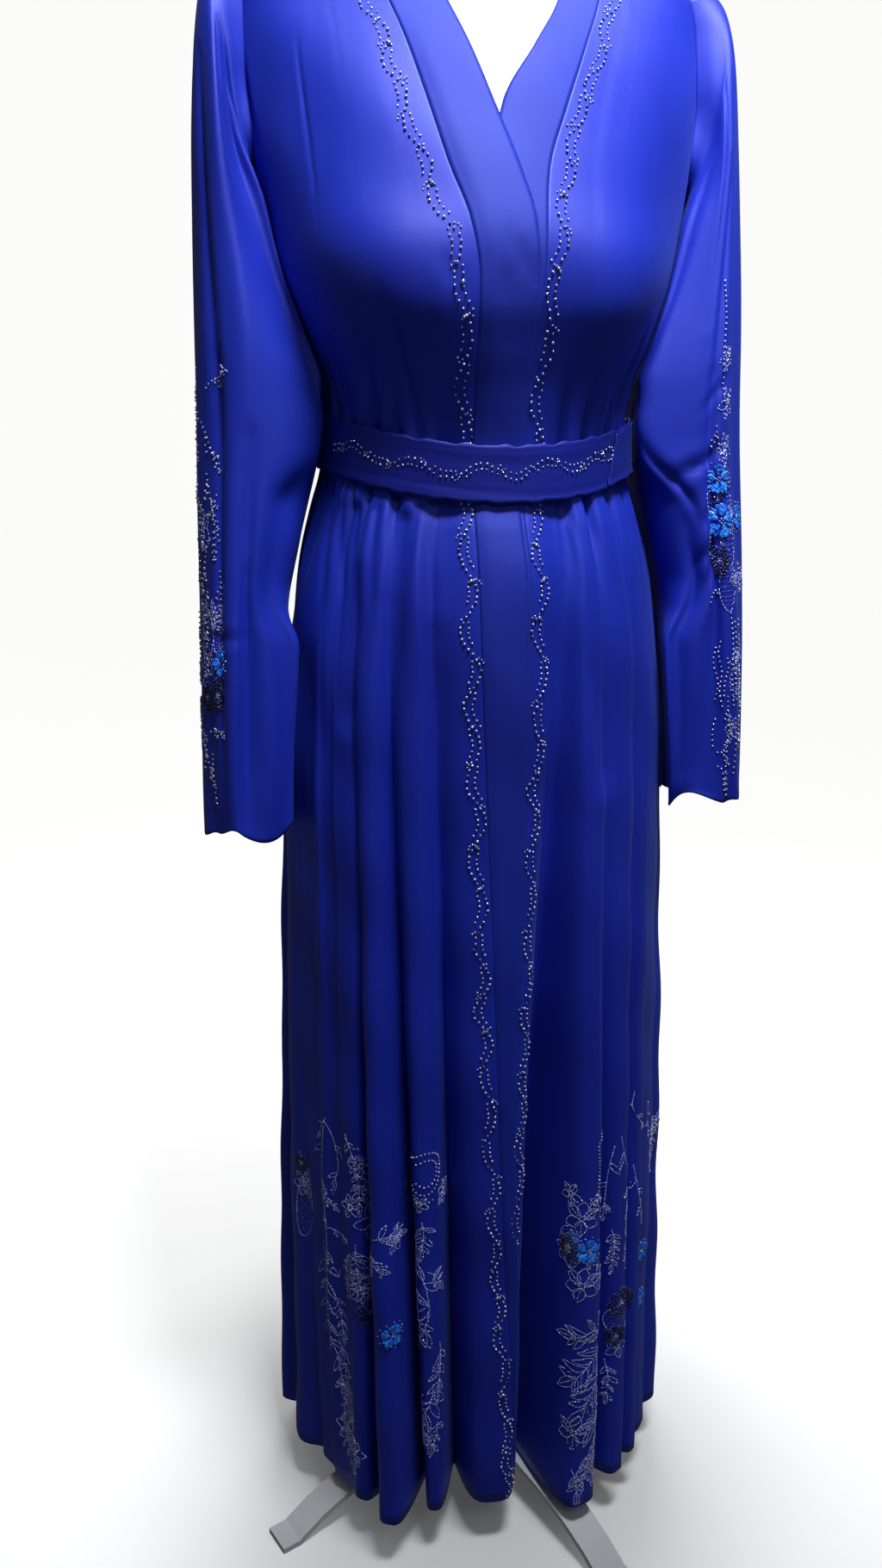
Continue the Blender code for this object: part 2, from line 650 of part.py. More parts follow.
def leg(name, azimuth):
    """Flat bar bent into an arch, one foot on the floor."""
    r = math.radians(azimuth)
    out = np.array([math.sin(r), -math.cos(r), 0.0])
    side = np.array([math.cos(r), math.sin(r), 0.0])
    line = np.array(LEG_ARCH)
    run = np.gradient(line, axis=0)
    run /= np.linalg.norm(run, axis=1, keepdims=True)
    rings = []
    for (d, z), (dx, dz) in zip(line, run):
        top = np.array([-dz, dx]) * LEG_THICK
        if z == 0.0:
            top = np.array([0.0, LEG_THICK])
        ring = []
        for across, lift in ((-0.5, 0.0), (0.5, 0.0), (0.5, 1.0), (-0.5, 1.0)):
            point = out * (d + top[0] * lift) + side * across * LEG_WIDTH
            point[2] = z + top[1] * lift
            ring.append(point)
        rings.append(ring)
    return ring_solid(name, rings, "stand_white")


def main():
    for old in list(bpy.data.objects):
        bpy.data.objects.remove(old, do_unlink=True)

    # Robe
    cloth_sheet("front_right", front_grid(-1), "blue_satin")
    cloth_sheet("front_left", front_grid(1), "blue_satin")
    cloth_sheet("back", back_grid(), "blue_satin")
    grid, lap = band_grid(-1)
    cloth_sheet("band_right", grid, "band_satin", lap)
    grid, lap = band_grid(1)
    cloth_sheet("band_left", grid, "band_satin", lap)
    cloth_sheet("band_back_neck", back_band_grid(), "band_satin")
    cloth_sheet("sleeve_right", sleeve_grid(-1, 24, -0.006), "blue_satin", closed=True)
    cloth_sheet("sleeve_left", sleeve_grid(1, 24, 0.008), "blue_satin", closed=True)

    # Belt and its loose end
    cloth_sheet("belt", belt_grid(0, 360, 60, BELT_OUT, BELT_WIDTH), "belt_satin", thick=BELT_THICK, closed=True)
    end = belt_grid(44, 78, 7, BELT_OUT + BELT_THICK + SEAM * 2, BELT_WIDTH * 0.92)
    cloth_sheet("belt_end", end, "belt_satin", thick=BELT_THICK)

    # Dress form
    rings = [oval_ring(*row, 28) for row in FORM]
    ring_solid("form_torso", rings, "form_jersey")
    z = FORM[-1][0] + SEAM
    cap = []
    for scale, height in ((0.99, z), (1.03, z + 0.003), (1.03, z + 0.009), (0.96, z + 0.013)):
        cap.append(oval_ring(height, 0.054 * scale, 0.043 * scale, 0.043 * scale, 0.006, 28))
    ring_solid("form_neck_cap", cap, "stand_white")

    # Stand
    pole = [(POLE_R, POLE_BOTTOM + SEAM), (POLE_R, FORM_BOTTOM - SEAM)]
    ring_solid("stand_pole", cylinder_rings(pole, 20), "stand_white")
    hub = [(0.021, 0.034), (0.023, 0.037), (0.023, 0.072), (0.019, POLE_BOTTOM)]
    ring_solid("stand_hub", cylinder_rings(hub, 20), "stand_white")
    for number, azimuth in enumerate((-65.0, 25.0, 115.0, 205.0), 1):
        leg(f"stand_leg_{number}", azimuth)


main()
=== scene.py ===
import bpy
import bmesh
import math
import numpy as np
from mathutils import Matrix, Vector


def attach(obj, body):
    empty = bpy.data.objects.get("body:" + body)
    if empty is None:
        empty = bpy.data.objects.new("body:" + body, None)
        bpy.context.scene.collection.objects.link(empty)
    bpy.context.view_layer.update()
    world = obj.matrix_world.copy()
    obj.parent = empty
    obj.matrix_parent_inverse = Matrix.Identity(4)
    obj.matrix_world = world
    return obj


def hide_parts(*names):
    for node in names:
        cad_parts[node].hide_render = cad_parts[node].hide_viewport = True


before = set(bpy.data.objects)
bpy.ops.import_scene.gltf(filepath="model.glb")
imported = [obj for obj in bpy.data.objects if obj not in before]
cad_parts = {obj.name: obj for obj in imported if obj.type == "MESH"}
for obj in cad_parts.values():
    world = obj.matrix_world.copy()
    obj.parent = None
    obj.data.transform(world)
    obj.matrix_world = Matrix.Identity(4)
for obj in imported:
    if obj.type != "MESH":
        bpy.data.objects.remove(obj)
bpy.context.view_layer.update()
RNG = np.random.RandomState(11)

# Robe, its main sizes
HEM_Z = 0.050
MID_Z = 0.660
BELT_MID = 1.090
ARMPIT_Z = 1.325
SHOULDER_Z = 1.495
SHOULDER_X = 0.215
NECK_Z = 1.555
NECK_X = 0.080
ARMHOLE_TOP_X = 0.1955
BAND_TOP_X = 0.118
BACK_SEAM_DIP = 0.044
BACK_NECK_DIP = 0.013
SEAM = 0.0002

# Wall of cloth of the solids, and of the thin shells of the scene
CLOTH = 0.0013
CLOTH_SHELL = 0.0009

# Belt
BELT_WIDTH = 0.050
BELT_THICK = 0.0018
BELT_SHELL = 0.0016
BELT_OUT = 0.0047
BELT_ROWS = 17
BELT_END_LEAN = 6.5  # degrees that the end's upper corner stands ahead of its lower one

# Upper side of the right band: how far it stands out, and the height where this ends
LAP = 0.0016
LAP_END_Z = 1.385
LAP_FADE = 0.06

# Sleeves: node, side, how much higher its cuff hangs than in the table
SLEEVES = (("sleeve_right", -1, -0.006), ("sleeve_left", 1, 0.008))
SLEEVE_ROWS = 170
SLEEVE_AROUND = 120

# The robe's outline on the form in mm: height, half width, front depth, back depth, centre in Y
BODY = np.array((
    (50, 222, 180, 202, 0), (300, 214, 173, 192, 0), (550, 205, 163, 180, 0), (700, 198, 157, 173, 0),
    (800, 193, 152, 166, 0), (880, 187, 149, 158, 0), (940, 179, 145.5, 147, 0), (990, 170, 139, 134, 0),
    (1035, 157, 128.5, 121, 0), (1065, 147, 119, 113, 0), (1090, 144, 117, 110, 0), (1115, 144.5, 119, 111, 0),
    (1150, 150, 127, 114, 0), (1180, 160, 138, 118, 0), (1212, 170, 147.5, 121, 0), (1240, 179, 149, 122, 1),
    (1300, 193, 135, 122, 3), (1364, 206, 116.5, 115, 6), (1420, 213, 97, 101, 9), (1460, 214.5, 77, 86, 11),
    (1495, 215, 58, 70, 12), (1528, 141, 43, 56, 12), (1555, 80, 30, 46, 12),
)) / 1000

# Each valley between two folds, in degrees from the front, plus toward the wearer's left:
# at the belt, at mid skirt, at the hem, depth at the hem, pleat depth at the belt,
# rise of the fold that follows it, strength of the gathers on that fold
FOLDS = np.array((
    (-63, -59, -57, 0.03, 0.003, -0.03, 0.6), (-56, -50, -47.5, 0.026, 0.003, -0.018, 0.5),
    (-49, -42.5, -38, 0.04, 0.003, 0.002, 0.5), (-37, -31, -25, 0.075, 0.006, -0.022, 0.3),
    (-22, -18, -15.5, 0.085, 0.008, -0.032, 0.4), (22, 14.5, 10.5, 0.13, 0.007, 0, 1),
    (34, 31.5, 31, 0.045, 0.006, -0.012, 0.4), (48, 45, 43, 0.04, 0.003, -0.018, 0.6),
    (60, 55, 52, 0.03, 0.003, -0.026, 0.8), (74, 72, 70, 0.035, 0.004, -0.014, 0.9),
    (97, 97, 97, 0.04, 0.004, 0, 0.8), (111, 111, 111, 0.055, 0.004, 0.002, 1),
    (126, 126, 125, 0.05, 0.005, -0.004, 1), (141, 142, 142, 0.075, 0.004, 0.003, 0.9),
    (157, 159, 160, 0.06, 0.005, 0, 0.9), (176, 178, 179, 0.08, 0.004, 0, 1),
    (194, 195, 197, 0.06, 0.005, 0.004, 0.9), (212, 213, 214, 0.07, 0.004, -0.003, 1),
    (229, 230, 231, 0.055, 0.005, 0, 0.9), (246, 247, 249, 0.06, 0.004, 0, 0.9),
    (263, 262, 261, 0.045, 0.004, -0.022, 0.8), (283, 285, 288, 0.04, 0.004, -0.034, 0.9),
))

# The fold whose first side rises slowly, and so stays in shade
SLOW_FOLD = 5
# Height above which the folds of the skirt have run out
FOLDS_TOP_Z = 1.06

# Bust: angle of each side, height, reach round in degrees, reach up, how far out
BUST = (38.0, 1.228, 22.0, 0.064, 0.0155)

# Front opening in tenths of a mm, across in X: height of the seam, right seam, right band's free edge,
# left band's free edge, left seam, how much higher the free edges are than the seams
OPENING = np.array((
    (500, 175, 285, 245, 325, 0), (2000, 85, 215, 165, 255, 0), (4000, -35, 120, 60, 165, 0),
    (5500, -85, 110, 10, 155, 0), (6600, -125, 155, -30, 200, 0), (8800, -210, 205, -110, 250, 0),
    (9600, -230, 210, -120, 255, 0), (10600, -243, 175, -130, 220, 0), (11300, -248, 185, -135, 230, 0),
    (12250, -245, 260, -130, 310, 0), (12690, -310, 240, -130, 335, 0), (13120, -455, 135, -100, 390, 0),
    (13660, -600, -50, 20, 580, 0), (14200, -750, -235, 345, 800, 0), (14700, -920, -440, 640, 1000, 30),
    (15381, -1180, -800, 800, 1180, 169),
)) / 10000
OPENING_TOP = OPENING[-1][0]

# Armhole: share of its height, X of the edge in front, X of the edge behind
ARMHOLE = (
    (0, 0.1983, 0.1983), (0.15, 0.1985, 0.196), (0.45, 0.2035, 0.196), (0.75, 0.203, 0.196), (1, 0.1955, 0.1955),
)

# Sleeve, a row per ring: outer X, outer height, inner X, inner height,
# half depth, centre in Y, how much of the armhole's own shape it keeps, flatness of the sides
SLEEVE = np.array((
    (0.1955, 1.5037, 0.1983, 1.325, 0.044, 0.012, 1, 0), (0.213, 1.509, 0.2045, 1.319, 0.046, 0.012, 0.7, 0),
    (0.229, 1.501, 0.2075, 1.307, 0.048, 0.012, 0.4, 0.1), (0.2385, 1.476, 0.2055, 1.289, 0.051, 0.011, 0.18, 0.2),
    (0.246, 1.43, 0.199, 1.263, 0.054, 0.01, 0.06, 0.3), (0.2505, 1.366, 0.187, 1.23, 0.057, 0.007, 0, 0.4),
    (0.253, 1.286, 0.1725, 1.192, 0.06, 0.003, 0, 0.5), (0.2555, 1.204, 0.159, 1.146, 0.0625, -0.001, 0, 0.6),
    (0.258, 1.12, 0.155, 1.088, 0.062, -0.005, 0, 0.6), (0.26, 1.04, 0.169, 1.022, 0.062, -0.01, 0, 0.6),
    (0.262, 0.964, 0.185, 0.952, 0.0625, -0.014, 0, 0.6), (0.2645, 0.892, 0.1915, 0.886, 0.063, -0.018, 0, 0.6),
    (0.2665, 0.822, 0.1975, 0.819, 0.0625, -0.02, 0, 0.6), (0.2685, 0.753, 0.2, 0.752, 0.0615, -0.021, 0, 0.6),
))

# Soft lengthwise valleys of a sleeve: angle round it, width in degrees, depth at the top, depth at the cuff
SLEEVE_FOLDS = (
    (133, 17, 0.001, 0.008), (62, 20, 0.004, 0.006), (228, 18, 0.002, 0.008), (300, 20, 0.003, 0.005),
)

# Creases of the sleeves: side, half width and depth in tenths of a mm,
# then the line as degrees round and thousandths down, twice
SLEEVE_CREASES = (
    (-1, 70, 50, 140, 300, 127, 620), (-1, 70, 75, 128, 560, 113, 990), (-1, 80, 65, 88, 740, 84, 1000),
    (1, 70, 45, 112, 340, 97, 620), (1, 70, 70, 98, 560, 78, 990), (1, 220, -120, 46, 780, 40, 1000),
    (1, 100, 80, 62, 700, 58, 960), (1, 60, 50, 52, 610, 74, 690), (1, 50, 55, 70, 780, 96, 700),
    (-1, 40, 30, 86, 800, 140, 803), (-1, 220, 170, 84, 140, 50, 660), (-1, 60, 30, 110, 180, 74, 420),
    (-1, 90, 50, 96, 620, 78, 980), (-1, 90, 50, 66, 760, 56, 1000), (1, 50, 50, 60, 655, 118, 625),
    (1, 50, 50, 78, 700, 122, 670), (1, 50, 45, 62, 740, 104, 715), (1, 40, 35, 88, 590, 124, 560),
    (1, 70, 40, 72, 260, 50, 560), (1, 60, 30, 104, 200, 92, 500), (1, 60, 40, 84, 780, 70, 990),
    (-1, 60, 40, 250, 560, 205, 600), (-1, 60, 40, 262, 630, 214, 680), (1, 60, 40, 246, 550, 208, 600),
    (1, 60, 40, 258, 650, 222, 690), (1, 70, 35, 230, 250, 262, 500), (-1, 70, 35, 236, 220, 268, 500),
)
# Metres for one degree round a sleeve and for its whole length, where its creases and its motifs are laid
SLEEVE_DEGREE = 0.0011
SLEEVE_LENGTH = 0.75
MOTIF_DEGREE = 0.00118
MOTIF_LENGTH = 0.74

# How the inner side of a sleeve lies along the robe's body: height, share of the way, how far out
HUG = (
    (0.74, 0.8, 0.005), (0.915, 0.8, 0.005), (0.955, 0.2, 0.005), (0.98, 0, 0.008), (1.045, 0, 0.0125),
    (1.09, 0.7, 0.0125), (1.13, 1, 0.0125), (1.165, 1, 0.0045), (1.29, 1, 0.0045), (1.38, 0, 0.0045),
)

# Fine creases pressed into the robe's body: half width and depth in tenths of a mm, fade (0 at both ends,
# 1 only at the far end), then its line, in turn degrees and height in mm
CREASES = (
    (120, 90, 0, -20, 930, -19.5, 760, -19, 560, -17.5, 350, -16.5, 150, -16, 40),
    (100, 70, 0, -36, 960, -34, 780, -32, 560, -30, 320, -27, 100),
    (150, 100, 0, 18, 1040, 15.5, 820, 13.5, 600, 12.5, 400, 11.5, 180, 11, 60), (90, 60, 1, -32, 1040, -31, 800),
    (90, 60, 1, -54, 1040, -52, 800), (140, 70, 1, -47, 860, -47, 1000), (140, 60, 1, 30, 800, 28, 980),
    (70, 48, 1, -68.8, 1113, -66.9, 1214), (60, 50, 1, -64, 1117, -58.1, 1223),
    (70, 50, 1, -46.7, 1112, -43.2, 1202), (60, 46, 1, -28.9, 1114, -32.5, 1176, -34.8, 1214),
    (70, 50, 1, 54.1, 1126, 51.2, 1202), (70, 48, 1, 70.5, 1120, 63, 1235), (70, 35, 0, -74.3, 1341, -74.2, 1419),
    (35, 14, 0, -51.1, 1277, -49, 1425), (45, 22, 0, -10.1, 1214, -19.7, 1239), (45, 20, 0, -0.8, 1255, 8.7, 1224),
    (40, 18, 0, -5.2, 1228, 0.8, 1219), (80, 50, 1, -70, 1066, -76.5, 968), (70, 45, 1, -66.6, 1048, -61.6, 941),
    (60, 40, 1, -60, 1040, -53.2, 958), (60, 35, 1, -52, 1043, -48.1, 943), (60, 36, 1, -43.5, 1045, -40, 945),
    (70, 50, 1, -25.8, 1055, -22.8, 967, -21.6, 863), (60, 45, 1, 25.2, 1072, 23.5, 961),
    (60, 45, 1, 34, 1070, 33, 975), (40, 20, 0, 26, 910, 26.8, 865), (35, 17, 0, -13.2, 447, -5.7, 456, 6.6, 491),
)


def ease(t):
    return t * t * (3 - 2 * t)


def wrapped(angle):
    """The same angle between -180 and 180 degrees."""
    return (angle + 180) % 360 - 180


def unit(vectors):
    return vectors / np.maximum(np.linalg.norm(vectors, axis=-1, keepdims=True), 1e-12)


def curve(table, column, at):
    """Smooth value of one column of a table whose first column rises; it never overshoots a row."""
    place, value = np.array(table, float)[:, [0, column]].T
    step = np.diff(place)
    rise = np.diff(value) / step
    slope = np.zeros(len(place))
    slope[0], slope[-1] = rise[0], rise[-1]
    before, after = rise[:-1], rise[1:]
    same = before * after > 0
    slope[1:-1][same] = 2 * before[same] * after[same] / (before[same] + after[same])
    at = np.clip(np.asarray(at, float), place[0], place[-1])
    k = np.clip(np.searchsorted(place, at, side="right") - 1, 0, len(place) - 2)
    t = (at - place[k]) / step[k]
    start = (1 + 2 * t) * (1 - t) ** 2 * value[k] + t * (1 - t) ** 2 * step[k] * slope[k]
    return start + (ease(t) * value[k + 1] + t * t * (t - 1) * step[k] * slope[k + 1])


def half_width(z):
    """Half width of the robe's body; above the shoulder point it follows the sloping shoulder."""
    z = np.asarray(z, float)
    slope = (SHOULDER_X - NECK_X) / (NECK_Z - SHOULDER_Z)
    return np.where(z > SHOULDER_Z, SHOULDER_X - (z - SHOULDER_Z) * slope, curve(BODY[:-2], 1, z))


def half_depth(front, z):
    """Depth of the robe's outline in front or behind."""
    return np.where(front, curve(BODY, 2, z), curve(BODY, 3, z))


def shoulder_height(x):
    """Height of the shoulder seam at a distance from the middle."""
    return SHOULDER_Z + (SHOULDER_X - np.abs(x)) / (SHOULDER_X - NECK_X) * (NECK_Z - SHOULDER_Z)


def fold_angles(z):
    """Angle of every valley at each height."""
    z = np.asarray(z, float).reshape(-1, 1)
    belt, mid, hem = FOLDS.T[:3]
    low = np.clip((MID_Z - z) / (MID_Z - HEM_Z), 0, 1)
    high = np.clip((z - MID_Z) / (BELT_MID - MID_Z), 0, 1)
    return mid + (hem - mid) * low + (belt - mid) * high ** 1.2


def fold_offset(angle, z):
    """How far the cloth is moved out from the outline by the folds and the gathers."""
    angle, z = np.broadcast_arrays(np.asarray(angle, float), np.asarray(z, float))
    shape = angle.shape
    z = z.ravel()
    knots = fold_angles(z)
    first = knots[:, 0]
    a = (angle.ravel() - first) % 360.0 + first
    k = np.clip((a[:, None] >= knots).sum(1) - 1, 0, len(FOLDS) - 1)
    n = (k + 1) % len(FOLDS)
    row = np.arange(len(z))
    low = knots[row, k]
    high = np.where(k == len(FOLDS) - 1, first + 360.0, knots[row, n])
    t = (a - low) / (high - low)
    t = np.where(k == SLOW_FOLD, t ** (1 + 0.5 * np.clip((z - HEM_Z) / 0.4, 0, 1)), t)
    drop = np.clip((FOLDS_TOP_Z - z) / (FOLDS_TOP_Z - HEM_Z), 0, 1)
    reach = np.where(z > BELT_MID, 0.055, 0.13)
    near = np.exp(-(np.abs(z - BELT_MID) / reach) ** 1.6)
    hem, pleat, crown, gather = FOLDS.T[3:]
    deep = hem * drop[:, None] ** 1.3 + pleat * near[:, None]
    share = ease(t)
    depth = deep[row, k] * (1 - share) + deep[row, n] * share
    ridge = (1 + np.cos(np.pi * (2 * t - 1) ** 2)) / 2
    out = crown[k] * drop * ridge - depth * (1 - ridge)
    out -= 0.0011 * gather[k] * near ** 2 * (1 + np.cos(4 * np.pi * t))
    return out.reshape(shape)


def belt_lift(angle):
    """The belt line dips in front and is highest at the back."""
    c = np.cos(np.radians(angle))
    return np.where(c > 0, 0.014 - 0.036 * np.abs(c) ** 1.5, 0.014 + 0.006 * np.abs(c))


def make_gathers():
    """Small uneven pleats that the belt draws in, above and below it."""
    made = []
    for first, last in ((-86, -24), (24, 86), (94, 266)):
        front = last < 90
        for up in (1, -1):
            at = first + RNG.uniform(0, 4)
            while at < last:
                strong = RNG.uniform(0.2, 1.0) ** 1.5
                if up > 0:
                    long, wide, deep, apart = 0.026 + 0.075 * strong, 0.0034, 0.0042, 6.0 * strong
                else:
                    long, wide, deep, apart = 0.035 + 0.13 * strong, 0.0024, 0.0028, 3.5 * strong
                lean = RNG.uniform(-2.5, 2.5) - up * 0.05 * (at if front else 0)
                start = BELT_MID + up * 0.012 + float(belt_lift(at))
                made.append((wide + 0.0040 * strong, 0.0009 + deep * strong, 1,
                             (at, start), (at + lean, start + up * long)))
                at += RNG.uniform(2.4, 5.0) + apart + (4.0 if front and up < 0 else 0.0)
    return made


def beside_line(pu, pz, du, dz):
    """Share along a straight line of the place nearest to each point, and the distance to it."""
    t = np.clip((pu * du + pz * dz) / (du * du + dz * dz), 0, 1)
    return t, np.hypot(pu - t * du, pz - t * dz)


def crease_offset(angle, z):
    """Sum of the creases at each point: a soft trough with a low ridge on each side."""
    total = np.zeros(np.shape(angle))
    reach = np.radians(1.0) * 0.92 * half_width(z)
    for wide, deep, fade, *line in GATHERS:
        best = np.full(np.shape(angle), 9.0)
        along = np.zeros(np.shape(angle))
        for i, ((a0, z0), (a1, z1)) in enumerate(zip(line, line[1:])):
            t, away = beside_line(wrapped(angle - a0) * reach, z - z0, (a1 - a0) * reach, z1 - z0)
            nearer = away < best
            best = np.where(nearer, away, best)
            along = np.where(nearer, (i + t) / (len(line) - 1), along)
        strong = 1 - along ** 2 if fade else np.sin(np.pi * np.clip(along, 0.02, 0.98)) ** 0.7
        ratio = best / wide
        total += deep * strong * (0.45 * np.exp(-(ratio / 2.0) ** 2) - 1.25 * np.exp(-ratio ** 2))
    return total


# The creases of the table, in metres, and the gathers
GATHERS = [(wide / 10000, deep / 10000, fade, *((a, z / 1000) for a, z in zip(line[::2], line[1::2])))
           for wide, deep, fade, *line in CREASES] + make_gathers()
# Random slow waves of the cloth: turns per radian, turns per metre, phase, height
SLOW_WAVES = [(RNG.uniform(3, 9), RNG.uniform(2, 9) * RNG.choice([-1, 1]), RNG.uniform(0, 6.28),
               0.0005 * RNG.uniform(0.5, 1.0)) for _ in range(7)]


def fine_offset(angle, z):
    """Small movement of the cloth on top of its folds."""
    around = np.radians(angle)
    total = crease_offset(angle, z)
    for turns, rises, phase, size in SLOW_WAVES:
        total = total + size * np.sin(np.round(turns) * around + rises * z * 6.28 + phase)
    return total


def body(angle, z, fine=True):
    """Point of the body cloth's inner face at an angle round the form and a height."""
    angle, z = np.broadcast_arrays(np.asarray(angle, float), np.asarray(z, float))
    s = np.sin(np.radians(angle))
    c = np.cos(np.radians(angle))
    w = half_width(z)
    d = half_depth(c > 0, z)
    length = np.sqrt((s / w) ** 2 + (c / d) ** 2)
    out = fold_offset(angle, z) + (fine_offset(angle, z) if fine else 0)
    side, high, around, up, far = BUST
    away = np.abs(wrapped(angle)) - side
    out = out + far * np.exp(-(away / around) ** 2 - ((z - high) / up) ** 2)
    x = w * s + s / w / length * out
    y = curve(BODY, 4, z) - d * c - c / d / length * out
    near = np.exp(-((z - BELT_MID) / 0.10) ** 2)
    return np.stack([x, y, z + belt_lift(angle) * near], -1)


def angle_at(x, z, behind=False):
    """Angle round the form of a point given by its X and its height."""
    a = np.degrees(np.arcsin(np.clip(x / half_width(z), -1, 1)))
    return 180.0 - a if behind else a


def grid_normals(grid, closed=False):
    """Outward normals of a grid of points."""
    if closed:
        across = np.roll(grid, -1, axis=1) - np.roll(grid, 1, axis=1)
    else:
        across = np.gradient(grid, axis=1)
    n = unit(np.cross(across, np.gradient(grid, axis=0)))
    middle = grid.reshape(-1, 3).mean(0) * closed
    return -n if np.sum(n[..., :2] * (grid[..., :2] - middle[:2])) < 0 else n


def spread(anchors, counts):
    """Columns between anchor angles, each a value per row, with a count of steps for each span."""
    columns = []
    for k, count in enumerate(counts):
        for i in range(count):
            share = i / count
            if 0 < k < len(counts) - 1:
                share -= 0.045 * math.sin(2 * math.pi * share)
            columns.append(anchors[k] + (anchors[k + 1] - anchors[k]) * share)
    columns.append(anchors[-1])
    return np.stack(columns, -1)


# Heights of the rows of a panel below the armpit, and shares of the way from there to its top
LOW = np.concatenate([np.linspace(HEM_Z, 0.90, 74)[:-1], np.linspace(0.90, 1.21, 58)[:-1],
                      np.linspace(1.21, ARMPIT_Z, 12)])
HIGH = np.linspace(0, 1, 36)[1:, None]
GAP = np.degrees(SEAM / half_width(LOW))


def armhole_point(share, behind):
    """X and height of the armhole's edge, from the armpit at 0 to the shoulder at 1."""
    share = np.asarray(share, float)
    z = ARMPIT_Z + (shoulder_height(ARMHOLE_TOP_X) - ARMPIT_Z) * share
    return curve(ARMHOLE, 2 if behind else 1, share), z


def armpit_row(angles):
    """X of each column of a panel at the armpit."""
    return half_width(ARMPIT_Z) * np.sin(np.radians(angles[-1]))


def panel(angles, x, z, behind):
    """Grid of a panel from its angles below the armpit and its X and heights above it."""
    heights = np.repeat(LOW[:, None], angles.shape[1], 1)
    grid = body(np.concatenate([angles, angle_at(x, z, behind)]), np.concatenate([heights, z]))
    grid[len(LOW):, :, 1] += SEAM * HIGH * (1 if behind else -1)
    return grid


def front_grid(side):
    """Front panel from its side seam to its band's seam."""
    column = 1 if side < 0 else 4
    seam = angle_at(curve(OPENING, column, LOW), LOW) + side * GAP * 2
    valleys = fold_angles(LOW).T
    if side < 0:
        ends = [-90.0 + GAP, valleys[21] - 360.0, *valleys[:5], seam]
        counts = (8, 24, 16, 16, 30, 30, 16)
    else:
        ends = [90.0 - GAP, *valleys[9:4:-1], seam]
        counts = (14, 28, 24, 24, 30, 22)
    angles = spread(ends, counts)
    first = armpit_row(angles)
    even = (first - first[0]) / (first[-1] - first[0])
    x_arm, z_arm = armhole_point(HIGH, False)
    z_seam = ARMPIT_Z + (OPENING_TOP - ARMPIT_Z) * HIGH
    x_seam = curve(OPENING, column, z_seam) + side * SEAM * 2
    part = even * (1 - HIGH) + np.linspace(0, 1, angles.shape[1]) * HIGH
    x = side * x_arm + (x_seam - side * x_arm) * part
    return panel(angles, x, z_arm + (z_seam - z_arm) * part, False)


def back_seam_height(x):
    """Height of the seam between the back and its neck band."""
    inside = np.clip(1 - (x / BAND_TOP_X) ** 2, 0, 1)
    return np.where(np.abs(x) < BAND_TOP_X, OPENING_TOP - BACK_SEAM_DIP * inside, shoulder_height(x))


def back_grid():
    """Back panel from the left side seam round to the right one."""
    valleys = fold_angles(LOW).T
    angles = spread([90.0 + GAP, *valleys[10:21], 270.0 - GAP], (8,) + (16,) * 10 + (8,))
    first = armpit_row(angles)
    top = first / abs(first[0]) * ARMHOLE_TOP_X
    for x in (BAND_TOP_X, -BAND_TOP_X):
        top[np.argmin(np.abs(top - x))] = x
    x_arm, _ = armhole_point(HIGH, True)
    x = (first / abs(first[0]) * (1 - HIGH) + top / ARMHOLE_TOP_X * HIGH) * x_arm
    z = ARMPIT_Z + (back_seam_height(top) - 2 * SEAM * (np.abs(top) <= BAND_TOP_X) - ARMPIT_Z) * HIGH
    return panel(angles, np.clip(x, -half_width(z), half_width(z)), z, True)


def band_grid(side):
    """Front band from its seam to its free edge, hem to shoulder, and how far each point is moved out."""
    z = np.concatenate([LOW, np.linspace(ARMPIT_Z, OPENING_TOP, 46)[1:]])
    seam = curve(OPENING, 1 if side < 0 else 4, z) - side * SEAM
    edge = curve(OPENING, 2 if side < 0 else 3, z)
    shares = np.linspace(0, 1, 15)
    x = seam[:, None] + (edge - seam)[:, None] * shares
    height = z[:, None] + curve(OPENING, 5, z)[:, None] * shares
    height[-1] = shoulder_height(x[-1])
    points = body(angle_at(x, height), height)
    fade = np.clip((z - ARMPIT_Z) / (OPENING_TOP - ARMPIT_Z), 0, 1)
    points[..., 1] -= SEAM * fade[:, None]
    lap = LAP * (1 - np.clip((z - LAP_END_Z) / LAP_FADE, 0, 1)) if side < 0 else 0 * z
    rise = np.clip(shares / 0.27, 0, 1)
    edge = np.clip((shares - 0.80) / 0.20, 0, 1)
    return points, lap[:, None] * rise * rise * (3 - 2 * rise) * (1 - 0.30 * edge * edge)


def back_band_grid():
    """Neck band across the back, from its seam to the neckline."""
    steps = np.linspace(-1, 1, 81)
    share = np.linspace(0, 1, 15)[:, None]
    seam_z = back_seam_height(steps * BAND_TOP_X)
    edge_z = NECK_Z - BACK_NECK_DIP * (1 - steps ** 2)
    x = steps * (BAND_TOP_X + (NECK_X - BAND_TOP_X) * share)
    z = seam_z + (edge_z - seam_z) * share + 2 * SEAM * (1 - share)
    points = body(angle_at(x, z, True), z)
    points[..., 1] += SEAM
    return points


def sleeve_row(down):
    """Row of the sleeve table at a place between its rows, on a smooth curve through them."""
    last = len(SLEEVE) - 1
    i = min(int(down), last - 1)
    t = down - i
    before, start, end, after = SLEEVE[[max(i - 1, 0), i, i + 1, min(i + 2, last)]]
    one = (end - before) / 2 if i else end - start
    two = (after - start) / 2
    return ((2 * t ** 3 - 3 * t * t + 1) * start + (t ** 3 - 2 * t * t + t) * one
            + (3 * t * t - 2 * t ** 3) * end + (t ** 3 - t * t) * two)


